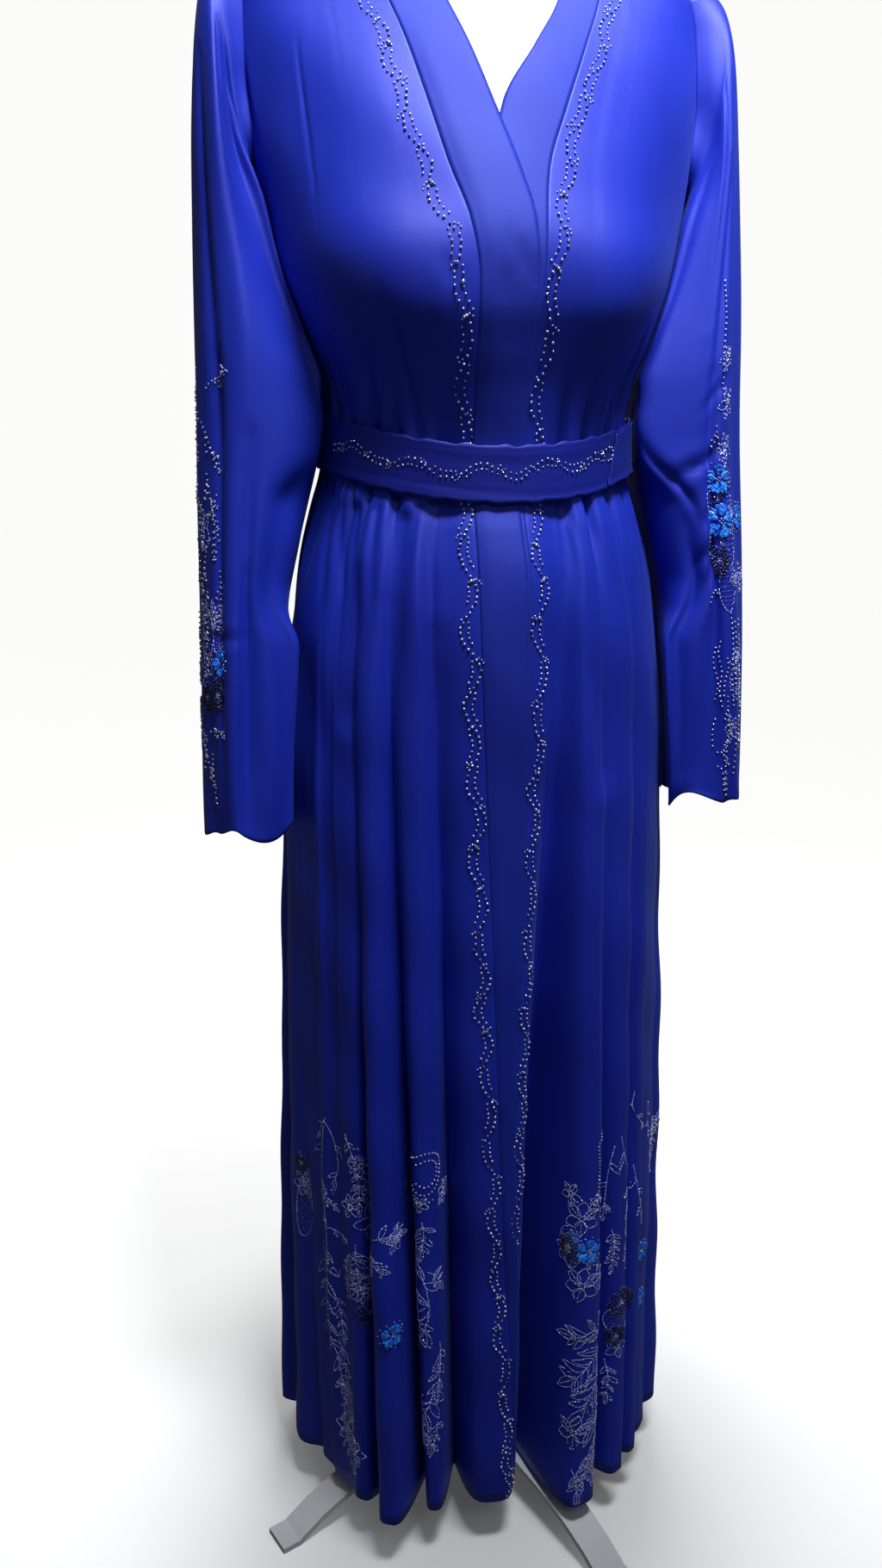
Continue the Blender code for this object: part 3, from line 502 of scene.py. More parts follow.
def hug(ring, c, s):
    """How far in X each point of a sleeve's ring moves so that its inner side lies along the body."""
    z = ring[:, 2]
    across = ring[:, 1] - curve(BODY, 4, z)
    depth = half_depth(across < 0, z)
    beside = half_width(z) * np.sqrt(np.clip(1 - (across / depth) ** 2, 0, 1)) + curve(HUG, 2, z)
    inner = np.clip(-c / 0.75, 0, 1)
    return (beside - ring[:, 0]) * (ease(inner) * np.where(s < 0, 0.35, 1.0) * curve(HUG, 1, z))


def sleeve_dent(side, turn, down, full):
    """Depth of a sleeve's valleys and creases round one ring."""
    dent = np.zeros(len(turn))
    for at, width, top, cuff in SLEEVE_FOLDS:
        dent += (top + (cuff - top) * down) * np.exp(-(wrapped(turn - at) / width) ** 2) * full
    for its_side, wide, deep, a0, d0, a1, d1 in SLEEVE_CREASES:
        if its_side != side:
            continue
        d0, d1 = d0 / 1000, d1 / 1000
        t, away = beside_line((turn - a0) * SLEEVE_DEGREE, (down - d0) * SLEEVE_LENGTH,
                              (a1 - a0) * SLEEVE_DEGREE, (d1 - d0) * SLEEVE_LENGTH)
        ratio = away / (wide / 10000)
        dent += deep / 10000 * np.sin(np.pi * np.clip(t, 0.04, 0.96)) ** 0.6 * (
            1.2 * np.exp(-ratio ** 2) - 0.5 * np.exp(-(ratio / 2) ** 2))
    return dent


def sleeve_grid(side, drop):
    """Sleeve from the armhole to the cuff; the angle runs from the inside over the front to the outside."""
    turn = np.arange(SLEEVE_AROUND) * 360.0 / SLEEVE_AROUND
    r = np.radians(turn)
    c, s = -np.cos(r), np.sin(r)
    share = (1 - np.cos(r)) / 2
    behind = turn > 180
    z = armhole_point(share, False)[1]
    x = np.where(behind, armhole_point(share, True)[0], armhole_point(share, False)[0])
    a = np.where(behind, angle_at(x, z, True), angle_at(x, z))
    hole = np.stack([x + CLOTH + SEAM * (2.5 + 5 * (1 - share) ** 6), body(a, z, False)[:, 1], z], -1)
    rings = []
    downs = np.linspace(0, len(SLEEVE) - 1, SLEEVE_ROWS)
    for place in downs:
        outer_x, outer_z, inner_x, inner_z, depth, centre, keep, flat = sleeve_row(place)
        down = place / (len(SLEEVE) - 1)
        shift = drop * max(0.0, down - 0.3) / 0.7
        size = (np.abs(c) ** (2 + flat) + np.abs(s) ** (2 + flat)) ** (-1 / (2 + flat))
        dent = sleeve_dent(side, turn, down, min(1.0, place / 4))
        wave = 0.0016 * np.sin(5 * r + 9 * down * side) * np.sin(3 * r - 14 * down + side)
        wave += 0.0022 * np.clip((down - 0.9) / 0.1, 0, 1) ** 2 * np.sin(7 * r + side)
        reach = size * (1 - (dent + wave * min(1.0, place / 3)) / depth)
        x = (outer_x + inner_x) / 2 + (outer_x - inner_x) / 2 * c * reach
        z = (outer_z + inner_z) / 2 + (outer_z - inner_z) / 2 * c * reach + shift
        ring = np.stack([x, centre - depth * s * reach, z], -1)
        if place == 0:
            start = hole - ring
        ring = ring + start * keep
        ring[:, 0] += hug(ring, c, s)
        rings.append(ring)
    grid = np.array(rings)
    low = np.clip((downs / downs[-1] - 0.90) / 0.10, 0, 1)[:, None] ** 2
    grid[..., 2] += low * (0.0050 * np.sin(5 * r + 1.7 * side) + 0.0035 * np.sin(8 * r - side))
    grid[..., 1] -= low * 0.003 * np.sin(6 * r + side)
    grid[..., 0] *= side
    return grid


def belt_grid(start, end, count, out=BELT_OUT, width=BELT_WIDTH, lean=0.0):
    """Strip round the waist between two angles."""
    closed = end - start >= 360
    share = np.linspace(-0.5, 0.5, BELT_ROWS)[:, None]
    angles = start + (end - start) * np.arange(count) / (count if closed else count - 1)
    angles = angles + lean * (share + 0.5) * np.linspace(1, 0, count)
    r = np.radians(angles)
    z = BELT_MID + share * width
    edge = np.abs(share * 2) ** 8 * (0.0007 * np.sin(31 * r + 3 * share) + 0.0005 * np.sin(53 * r))
    points = np.stack([half_width(z) * np.sin(r), curve(BODY, 4, z) - half_depth(np.cos(r) > 0, z) * np.cos(r),
                       BELT_MID + belt_lift(angles) + share * width + edge], -1)
    ripple = 0.0003 * np.sin(5 * r + 7 * share) * np.sin(3 * r - 9 * share) + 0.0007 * np.cos(np.pi * share)
    ripple -= 0.0006 * np.exp(-((np.abs(share) - 0.43) / 0.03) ** 2)
    ripple -= 0.0010 * np.exp(-((share + 0.33 + 0.05 * np.sin(3 * r)) / 0.05) ** 2)
    return points + grid_normals(points, closed) * (out + ripple)[..., None]


def feed(tree, node, inputs):
    """Fill inputs of a node, each with a value or with another node's output."""
    for name, value in inputs.items():
        if isinstance(value, bpy.types.NodeSocket):
            tree.links.new(value, node.inputs[name])
        else:
            node.inputs[name].default_value = value


def node_output(tree, kind, output, inputs, **settings):
    """One output of a new node with its settings and inputs."""
    made = tree.nodes.new("ShaderNode" + kind)
    for name, value in settings.items():
        setattr(made, name, value)
    feed(tree, made, inputs)
    return made.outputs[output]


def new_material(name, colour, roughness, metallic=0.0):
    """Node material; returns it with its node tree and shader."""
    made = bpy.data.materials.new(name)
    made.use_nodes = True
    shader = made.node_tree.nodes["Principled BSDF"]
    feed(made.node_tree, shader, {"Base Color": (*colour, 1.0), "Roughness": roughness, "Metallic": metallic})
    return made, made.node_tree, shader


def noise(tree, vector, scale, detail=2.0):
    return node_output(tree, "TexNoise", "Fac", {"Vector": vector, "Scale": scale, "Detail": detail})


def coordinates(tree, kind="Object"):
    return node_output(tree, "TexCoord", kind, {})


def stretched(tree, vector, scale):
    return node_output(tree, "Mapping", "Vector", {"Vector": vector, "Scale": scale})


def smooth_step(tree, value, low, high, first, last):
    """Value moved from low..high to first..last, with soft ends."""
    return node_output(tree, "MapRange", "Result", {
        "Value": value, "From Min": low, "From Max": high, "To Min": first, "To Max": last,
    }, interpolation_type="SMOOTHSTEP")


def two_colours(tree, shader, factor, low, dark, high, bright):
    """Base colour between two stops of a ramp."""
    made = tree.nodes.new("ShaderNodeValToRGB")
    for element, place, colour in zip(made.color_ramp.elements, (low, high), (dark, bright)):
        element.position, element.color = place, (*colour, 1)
    tree.links.new(factor, made.inputs["Fac"])
    tree.links.new(made.outputs["Color"], shader.inputs["Base Color"])


def bump(tree, shader, height, distance, strength=1.0, under=None):
    """Bump on a shader, over another one where that is given."""
    inputs = {"Distance": distance, "Strength": strength, "Height": height}
    if under:
        inputs["Normal"] = under
    normal = node_output(tree, "Bump", "Normal", inputs)
    tree.links.new(normal, shader.inputs["Normal"])
    return normal


def satin(name, dark, bright, roughness):
    """Woven satin: a fine weave along the piece's own UV map, slow changes of colour and gloss."""
    made, tree, shader = new_material(name, bright, roughness, 0.10)
    here = coordinates(tree)
    two_colours(tree, shader, noise(tree, stretched(tree, here, (1, 1, 0.35)), 9.0), 0.3, dark, 0.7, bright)
    weave = node_output(tree, "TexWave", "Fac", {
        "Vector": stretched(tree, coordinates(tree, "UV"), (1.0, 0.3, 1.0)), "Scale": 900.0, "Distortion": 0.6,
    }, bands_direction="DIAGONAL")
    first = bump(tree, shader, weave, 0.00004, 0.35)
    bump(tree, shader, noise(tree, stretched(tree, here, (1, 1, 0.5)), 55.0, 3.0), 0.0008, 0.30, first)
    feed(tree, shader, {"Sheen Weight": 0.08, "Sheen Roughness": 0.45, "Sheen Tint": (0.25, 0.40, 1.0, 1.0),
                        "Specular IOR Level": 0.34})
    return made


def placed(name, data):
    """New object of the scene."""
    made = bpy.data.objects.new(name, data)
    bpy.context.scene.collection.objects.link(made)
    return made


def sheet_mesh(name, grid, material, closed=False):
    """Mesh of a grid of points with a UV map in metres, its faces outwards."""
    rows, columns = grid.shape[:2]
    across = np.linalg.norm(np.diff(grid, axis=1), axis=2).mean(0)
    up = np.linalg.norm(np.diff(grid, axis=0), axis=2).mean(1)
    u = np.concatenate([[0], np.cumsum(across)])
    v = np.concatenate([[0], np.cumsum(up)])
    if closed:
        u = np.append(u, u[-1] + across.mean())
    i, j = np.meshgrid(np.arange(rows - 1), np.arange(len(u) - 1), indexing="ij")
    i, j = i.ravel(), j.ravel()
    k = (j + 1) % columns
    faces = np.stack([i * columns + j, i * columns + k, (i + 1) * columns + k, (i + 1) * columns + j], 1)
    places = np.stack([np.stack([u[j + a], v[i + b]], 1) for a, b in ((0, 0), (1, 0), (1, 1), (0, 1))], 1)
    points = grid.reshape(-1, 3)
    corner = points[faces[:, 0]]
    facing = np.cross(points[faces[:, 1]] - corner, points[faces[:, 3]] - corner)
    if np.sum(facing * grid_normals(grid, closed).reshape(-1, 3)[faces[:, 0]]) < 0:
        faces = faces[:, ::-1]
        places = places[:, ::-1]
    mesh = bpy.data.meshes.new(name)
    mesh.from_pydata(points.tolist(), [], faces.tolist())
    layer = mesh.uv_layers.new(name="UVMap")
    layer.data.foreach_set("uv", places.reshape(-1).astype(np.float32))
    mesh.materials.append(material)
    mesh.shade_smooth()
    mesh.update()
    return placed(name, mesh)


def with_allowance(grid, normal, sides, wide=0.005, deep=0.0011):
    """Grid with a seam allowance on the named sides, which runs on under the next piece."""
    for side in sides:
        axis = 0 if side in ("top", "bottom") else 1
        way = -1 if side in ("top", "right") else 1
        grid = np.moveaxis(grid, axis, 0)[::way]
        normal = np.moveaxis(normal, axis, 0)[::way]
        step = unit(grid[0] - grid[2])
        added = [grid[0] + step * wide * share - normal[0] * deep * min(1.0, 2 * share) for share in (1.0, 0.5, 0.12)]
        grid = np.moveaxis(np.concatenate([np.array(added), grid])[::way], 0, axis)
        normal = np.moveaxis(np.concatenate([np.repeat(normal[:1], 3, 0), normal])[::way], 0, axis)
    return grid


def cloth_piece(node, grid, material, out=0.0, thick=CLOTH_SHELL, closed=False,
                under=()):
    """Thin shell of cloth on a CAD node's form, in that node's place."""
    out = np.broadcast_to(np.asarray(out, float), grid.shape[:2])[..., None]
    normal = grid_normals(grid, closed)
    middle = with_allowance(grid + normal * (out + CLOTH / 2), normal, under)
    made = sheet_mesh(node + "_cloth", middle, material, closed)
    wall = made.modifiers.new("wall", "SOLIDIFY")
    wall.thickness = thick
    wall.offset = 0.0
    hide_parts(node)
    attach(made, "root")


def make_robe():
    blue = satin("blue satin", (0.007, 0.020, 0.40), (0.010, 0.030, 0.50), 0.50)
    # The bands' satin is the blue satin made darker: painted shade, as the bands face up more into the light.
    band = satin("blue satin of the bands, darker as painted shade", (0.005, 0.018, 0.34), (0.007, 0.026, 0.42), 0.62)
    belted = satin("blue satin of the belt", (0.004, 0.010, 0.24), (0.006, 0.015, 0.32), 0.52)
    torso = ["form_torso"]
    for node, side in (("front_right", -1), ("front_left", 1)):
        cloth_piece(node, front_grid(side), blue,
                    under=("left", "right", "top"))
    cloth_piece("back", back_grid(), blue)
    for node, side, wide, rests_on, under in (("band_right", -1, 0.040, ["band_left", "front_left"], ()),
                                              ("band_left", 1, 0.034, torso, ("top",))):
        grid, lap = band_grid(side)
        cloth_piece(node, grid, band, lap, under=under)
    cloth_piece("band_back_neck", back_band_grid(), band)
    for node, side, drop in SLEEVES:
        cloth_piece(node, sleeve_grid(side, drop), blue, closed=True,
                    under=("bottom",))
    cloth_piece("belt", belt_grid(0, 360, 300), belted,
                thick=BELT_SHELL, closed=True)
    end = belt_grid(44, 78, 60, BELT_OUT + BELT_THICK + SEAM * 2, BELT_WIDTH * 0.92, BELT_END_LEAN)
    cloth_piece("belt_end", end, belted, thick=BELT_SHELL)


def make_form():
    """Looks of the form's jersey, and of the painted cap and stand, whose shapes are the CAD's own."""
    jersey, tree, shader = new_material("white jersey", (0.80, 0.80, 0.82), 0.85)
    knit = node_output(tree, "TexWave", "Fac", {"Vector": coordinates(tree), "Scale": 420.0})
    bump(tree, shader, knit, 0.0001, 0.3)
    feed(tree, shader, {"Sheen Weight": 0.2})
    bpy.data.objects["form_torso"].material_slots[0].material = jersey
    paint, tree, shader = new_material("white paint", (0.72, 0.73, 0.76), 0.35)
    bump(tree, shader, noise(tree, coordinates(tree), 260.0), 0.0001, 0.25)
    for node in ("form_neck_cap", "stand_pole", "stand_hub", *("stand_leg_%d" % k for k in range(1, 5))):
        bpy.data.objects[node].material_slots[0].material = paint


def light(name, place, target, size, power, colour=(1, 1, 1), beam=180.0):
    data = bpy.data.lights.new(name, "AREA")
    data.shape = "RECTANGLE"
    data.size, data.size_y = size
    data.energy = power
    data.color = colour
    data.spread = math.radians(beam)
    made = placed(name, data)
    made.location = place
    made.rotation_euler = (Vector(target) - Vector(place)).to_track_quat("-Z", "Y").to_euler()


def make_sweep():
    """Floor and wall in one sweep whose colour paints light: a painted glow, weaker on the floor in front and
    stronger towards the wall, and a painted shadow round the stand.
    """
    flat, bend = 2.6, 0.9
    line = [(-4.0, 0.0), (flat, 0.0)]
    line += [(flat + bend * math.sin(t), bend - bend * math.cos(t)) for t in np.linspace(0, np.pi / 2, 17)[1:]]
    line.append((flat + bend, 5.0))
    grid = np.array([[(x, y, z) for x in np.linspace(-4.5, 4.5, 7)] for y, z in line])
    white, tree, shader = new_material("studio white with painted glow and shadow", (0.86, 0.86, 0.87), 0.75)
    here = coordinates(tree)
    two_colours(tree, shader, noise(tree, here, 1.3), 0.3, (0.83, 0.84, 0.86), 0.7, (0.87, 0.87, 0.87))
    # Painted light and shadow: the sweep's glow rises from the floor in front to the wall, and dims close round the
    # stand as a painted shadow of the robe.
    depth = node_output(tree, "SeparateXYZ", "Y", {"Vector": here})
    away = node_output(tree, "VectorMath", "Value", {0: here}, operation="LENGTH")
    painted_glow_and_shadow = node_output(tree, "Math", "Value", {
        0: smooth_step(tree, depth, -0.3, 1.5, 0.57, 0.90), 1: smooth_step(tree, away, 0.10, 0.50, 0.08, 1.0),
    }, operation="MULTIPLY")
    feed(tree, shader, {"Emission Color": (1.0, 1.0, 0.985, 1), "Emission Strength": painted_glow_and_shadow})
    sweep = sheet_mesh("studio_sweep", grid, white)
    sweep.visible_diffuse = False
    sweep.visible_glossy = False


def make_studio():
    """Sweep, soft lights and the camera of the picture."""
    make_sweep()
    light("key_above", (0.26, -0.70, 2.75), (0.15, 0, 1.50), (0.7, 0.35), 6.7, (0.95, 0.98, 1.0), 50.0)
    light("front_lamp", (0.35, -1.7, 1.95), (0.0, 0, 0.8), (0.6, 0.6), 2.5)
    light("side_left", (-1.9, -0.7, 1.5), (0.0, 0, 0.8), (0.7, 1.2), 0.35, (0.92, 0.95, 1.0))
    light("back_top", (0.3, 1.2, 2.4), (0.0, 0, 1.0), (0.8, 0.8), 14)
    scene = bpy.context.scene
    scene.world = scene.world or bpy.data.worlds.new("studio")
    scene.world.use_nodes = True
    tree = scene.world.node_tree
    feed(tree, tree.nodes["Background"], {"Color": (0.93, 0.95, 1.0, 1), "Strength": 0.075})
    scene.view_settings.view_transform = "Standard"

    heading, away, height = math.radians(11.0), 1.172, 1.018
    data = bpy.data.cameras.new("picture")
    data.sensor_fit = "VERTICAL"
    data.sensor_height = 36.0
    data.lens = 27.02
    data.shift_x = -0.0214
    camera = placed("picture", data)
    camera.location = (-away * math.sin(heading), -away * math.cos(heading), height)
    camera.rotation_euler = (math.radians(78.0), 0, -heading)
    scene.camera = camera


make_studio()
make_robe()
make_form()

# Beads, stitches and cut pieces of cloth. A line of them is worked out flat, in metres, and laid on the cloth.

# Heights and angles where the skirt is measured, and the lowest and highest stitch on it
ROW_STEP = 0.005
ROW_Z = np.arange(HEM_Z, 0.56, ROW_STEP)
ROW_A = np.arange(-110.0, 110.5, 0.5)
STITCH_Z = (HEM_Z + 0.004, 0.55)
# Length over which the direction of a bead is taken from the cloth
BEAD_REACH = 0.0008
# Steps of a vine's middle line, of its beads and of the shorter strand's beads
VINE_STEP = 0.0005
VINE_BEADS = 0.0055
INNER_BEADS = 0.0052


def make_ruler():
    """Distance round the skirt at each height, measured along its folds."""
    steps = np.linalg.norm(np.diff(body(*np.meshgrid(ROW_A, ROW_Z)), axis=1), axis=2)
    return np.concatenate([np.zeros((len(ROW_Z), 1)), np.cumsum(steps, axis=1)], axis=1)


RULER = make_ruler()


def on_skirt(angle, height, flat):
    """Angles and heights of flat points, across and up, laid on the skirt from an origin."""
    z = np.clip(height + flat[:, 1], *STITCH_Z)
    rows = np.clip(np.round((z - HEM_Z) / ROW_STEP).astype(int), 0, len(ROW_Z) - 1)
    found = np.empty(len(z))
    for row in np.unique(rows):
        here = rows == row
        start = np.interp(angle, ROW_A, RULER[row])
        found[here] = np.interp(start + flat[here, 0], RULER[row], ROW_A)
    return np.stack([found, z], 1)


def from_origin(line):
    """Flat line from the origin, through points that follow as across and up in mm."""
    return np.concatenate([[(0, 0)], np.reshape(line, (-1, 2)) / 1000])


def smooth_line(points, count=12):
    """Smooth line through points."""
    points = np.asarray(points, float)
    ends = np.concatenate([[2 * points[0] - points[1]], points, [2 * points[-1] - points[-2]]])
    t = (np.arange(count) / count)[:, None]
    parts = []
    for a, b, c, d in zip(ends, ends[1:], ends[2:], ends[3:]):
        square = 2 * a - 5 * b + 4 * c - d
        parts.append(0.5 * (2 * b + (c - a) * t + square * t ** 2 + (3 * b - a - 3 * c + d) * t ** 3))
    return np.concatenate(parts + [points[-1:]])


def distances(line):
    """Distance along a flat line of each of its points."""
    return np.concatenate([[0], np.cumsum(np.linalg.norm(np.diff(line, axis=0), axis=1))])


def at_distances(line, run, at):
    return np.stack([np.interp(at, run, line[:, 0]), np.interp(at, run, line[:, 1])], 1)


def steps_along(line, step):
    """Even steps along a flat line."""
    run = distances(line)
    return at_distances(line, run, np.linspace(0, run[-1], max(2, int(run[-1] / step) + 1)))


def turned(points, degrees, at=(0, 0)):
    r = math.radians(degrees)
    c, s = math.cos(r), math.sin(r)
    return np.asarray(points) @ np.array([[c, s], [-s, c]]) + np.asarray(at)


def heading_of(way):
    """Turn in degrees that brings straight up into a flat direction."""
    return math.degrees(math.atan2(-way[0], way[1]))


def leaf(long, wide, bend=0.0, vein=True):
    """Outline and vein of a leaf that points up from the origin."""
    t = np.linspace(0, 1, 13)
    half = wide / 2 * np.sin(np.pi * t ** 0.85) ** 0.9
    middle = bend * np.sin(np.pi * t / 2) ** 2
    lines = [np.stack([middle + half, long * t], 1), np.stack([middle - half, long * t], 1)]
    if vein:
        lines.append(np.stack([middle[:11], long * t[:11]], 1))
    return lines


def bloom(size, petals, turn=0.0):
    """Outlined flower: its petals and a short line up each."""
    lines = []
    for k in range(petals):
        at = turn + k * 360.0 / petals + RNG.uniform(-6, 6)
        for line in leaf(size * RNG.uniform(0.85, 1.05), size * 0.62, 0.0, k % 2 == 0):
            lines.append(turned(line + (0, size * 0.12), at))
    return lines


def curl(size, turns, turn=0.0):
    """Open curl round the origin."""
    t = np.linspace(0.12, 1, 26)
    a = t * turns * 2 * np.pi
    return [turned(np.stack([size * t * np.cos(a), size * t * np.sin(a)], 1), turn)]


def spray(line, leaf_long, gap, mirror=1, pairs=True, lean=34.0):
    """Stem with leaves on both sides, laid flat from the origin."""
    stem = smooth_line(line)
    lines = [stem]
    run = distances(stem)
    side = mirror
    for place in np.arange(gap * 0.8, run[-1], gap):
        k = int(np.clip(np.searchsorted(run, place), 1, len(stem) - 1))
        heading = heading_of(stem[k] - stem[k - 1])
        long = leaf_long * (1.05 - 0.35 * place / run[-1]) * RNG.uniform(0.85, 1.15)
        for s in ((side, -side) if pairs else (side,)):
            shape = leaf(long, long * RNG.uniform(0.24, 0.34), s * long * 0.12, RNG.uniform() < 0.3)
            lean_now = heading - s * lean + RNG.uniform(-7, 7)
            lines += [turned(part, lean_now, stem[k]) for part in shape]
        side = -side
    tip = heading_of(stem[-1] - stem[-2])
    return lines + [turned(part, tip, stem[-1]) for part in leaf(leaf_long, leaf_long * 0.34)]


LAID = {kind: [] for kind in ("silver", "thread", "bright", "navy", "turquoise", "dim")}


def lay(kind, spot, flat, size, heading=None, long=None):
    """Keep beads at flat points for later; spot is a surface with an origin on it, and heading is the
    direction of each one's length, flat."""
    place, angle, height = spot
    flat = np.atleast_2d(np.asarray(flat, float))
    if heading is None:
        heading = np.tile([0.0, 1.0], (len(flat), 1))
    heading = unit(heading) * BEAD_REACH
    size = np.broadcast_to(size, len(flat))
    long = size if long is None else np.broadcast_to(long, len(flat))
    first = place(angle, height, flat - heading / 2)
    last = place(angle, height, flat + heading / 2)
    LAID[kind].append(np.column_stack([first, last, size, long]))


def stitch(kind, spot, lines, step=0.0030, size=0.0009, long=0.0026, skip=0.0):
    """Lay short bugle beads or stitches end to end along flat lines."""
    for line in lines:
        at = steps_along(np.asarray(line), step)
        middle = (at[1:] + at[:-1]) / 2
        kept = RNG.uniform(size=len(middle)) >= skip
        if kept.any():
            lay(kind, spot, middle[kept], size, (at[1:] - at[:-1])[kept], long)


def ring_of(count, radius, turn=0.0, oval=1.0):
    a = np.radians(turn + np.arange(count) * 360.0 / count)
    return np.stack([np.cos(a) * radius, np.sin(a) * radius * oval], 1)


# Cut pieces of a turquoise petal: lean in degrees, then how far out, length and width as shares of its size
CUT_PIECES = ((0, 0.56, 0.56, 0.50), (-21, 0.58, 0.46, 0.32), (21, 0.58, 0.46, 0.32), (9, 0.36, 0.40, 0.34))


def blue_flower(spot, size):
    """Ruffled turquoise flower of cut pieces, with beads at its edge and its middle."""
    turn = RNG.uniform(0, 72)
    for k in range(5):
        for lean, far, long, wide in CUT_PIECES:
            r = math.radians(turn + 72 * k + lean)
            way = np.array([[math.cos(r), math.sin(r)]])
            lay("turquoise", spot, way * size * far, size * wide, way, size * long)
    lay("silver", spot, ring_of(11, size * 1.02, turn, 0.95), 0.0014)
    lay("silver", spot, ring_of(4, size * 0.10, turn), 0.0014)


def dark_flower(spot, size, petals=6):
    """Flower of navy beads with a pale line round it."""
    turn = RNG.uniform(0, 60)
    for k in range(petals):
        a = turn + 360.0 / petals * k
        r = math.radians(a)
        middle = np.array([math.cos(r), math.sin(r)]) * size * 0.60
        lay("navy", spot, middle + ring_of(7, size * 0.22, a), 0.0026)
        lay("navy", spot, middle, 0.0030)
        stitch("dim", spot, [middle + ring_of(17, size * 0.36, a)], skip=0.15)
    lay("silver", spot, ring_of(5, size * 0.13, turn), 0.0013)
    lay("silver", spot, (0, 0), 0.0018)


def net_patch(spot, wide, high, turn=0.0):
    """Patch filled with small beads in rows."""
    x, y = np.meshgrid(np.arange(-wide, wide, 0.0034), np.arange(-high, high, 0.0036))
    x = x + 0.0017 * (np.arange(len(x)) % 2)[:, None]
    inside = (x / wide) ** 2 + (y / high) ** 2 < 1
    points = turned(np.stack([x[inside], y[inside]], 1), turn)
    points += RNG.uniform(-0.0005, 0.0005, points.shape)
    lay("dim", spot, points, 0.0012)
    stitch("thread", spot, [turned(ring_of(29, 1) * (wide * 1.12, high * 1.08), turn)], skip=0.1)


# Vines of beads down the front: phase, then the middle line, in turn height and X in tenths of a mm
VINES = (
    (0.4, (
        550, 75, 1200, 40, 1820, 6, 3070, -78, 4050, -128, 5120, -175, 5750, -213, 6650, -232, 7290, -262, 8850,
        -307, 9630, -317, 10590, -327, 11230, -331, 11980, -355, 12390, -432, 12830, -559, 13390, -732, 14200, -940,
        14800, -1130, 15300, -1250,
    )),
    (2.2, (
        3400, 109, 4020, 162, 4550, 185, 5420, 218, 6610, 262, 7270, 275, 8830, 328, 9620, 325, 10590, 302, 11300,
        315, 11820, 345, 12300, 385, 12740, 470, 13190, 560, 13580, 680, 14090, 900, 14880, 1190, 15280, 1300,
    )),
)
# Length and swing of a vine's wave at each height
VINE_WAVES = (
    (0.05, 0.066, 0.007), (0.4, 0.07, 0.0074), (1.1, 0.072, 0.0078), (1.25, 0.062, 0.0062), (1.53, 0.056, 0.0056),
)


def in_plane(angle, height, flat):
    """A flat point whose place is its own X and height on the front."""
    return np.stack([angle_at(flat[:, 0], flat[:, 1]), flat[:, 1]], 1)


def vine(place, line, phase, waves=VINE_WAVES, small=1.0):
    """Wavy strand of silver beads, with a shorter strand inside each bend and a small curl where it ends."""
    spot = (place, 0, 0)
    line = smooth_line(line)
    run = distances(line)
    fine = np.linspace(0, run[-1], int(run[-1] / VINE_STEP))
    middle = at_distances(line, run, fine)
    ahead = unit(np.gradient(middle, axis=0))
    side = np.stack([ahead[:, 1], -ahead[:, 0]], 1)
    turns = phase + np.cumsum(2 * np.pi * (fine[1] - fine[0]) / curve(waves, 1, middle[:, 1]))
    turns += 0.40 * np.sin(fine * 23 + phase)
    size = curve(waves, 2, middle[:, 1]) * (1 + 0.16 * np.sin(fine * 37 + 2 * phase))
    strand = middle + side * (size * np.sin(turns))[:, None]
    at = steps_along(strand, VINE_BEADS * small)
    at += RNG.normal(0, 0.0004, at.shape)
    heading = np.gradient(at, axis=0)
    tone = RNG.uniform(size=len(at))
    for kind, low, high in (("dim", 0.0, 0.22), ("silver", 0.22, 0.84), ("bright", 0.84, 1.01)):
        kept = (tone >= low) & (tone < high)
        wide, long = (RNG.uniform(0.0022, 0.0030, kept.sum()) * small for _ in range(2))
        lay(kind, spot, at[kept], wide, heading[kept], long)
    for number in np.arange(math.ceil((turns[0] - np.pi / 2) / np.pi), (turns[-1] - np.pi / 2) / np.pi):
        k = int(np.argmin(np.abs(turns - (number + 0.5) * np.pi)))
        sign = np.sin(turns[k])
        count = RNG.randint(5, 8)
        span = (count - 1) * INNER_BEADS * small / VINE_STEP / 2
        near = np.clip(k + (np.linspace(-1, 0.9, count) * span).astype(int), 0, len(fine) - 1)
        inner = strand[near] - side[near] * sign * 0.0072 * small
        inner[-1] += side[near[-1]] * sign * 0.0022 * small
        wide, long = (RNG.uniform(0.0018, 0.0024, count) * small for _ in range(2))
        lay("silver", spot, inner, wide, np.gradient(inner, axis=0), long)
        half = int(np.clip(k + span * 1.15, 0, len(fine) - 1))
        tail = strand[half] + side[half] * sign * np.array([[0.0026], [0.0052], [0.0066]]) * small
        tail += ahead[half] * np.array([[0.0004], [-0.0012], [-0.0040]]) * small
        lay("silver", spot, tail[:RNG.randint(1, 4)], 0.0018 * small)
        if RNG.uniform() < 0.35:
            lay("bright", spot, (strand[half] + inner[-1]) / 2, 0.0034 * small)


def embroider_fronts():
    for phase, line in VINES:
        vine(in_plane, np.reshape(line, (-1, 2))[:, ::-1] / 10000, phase)
    lay("bright", (in_plane, 0, 0), [(-0.0375, 1.222), (0.0485, 1.292)], 0.0042)


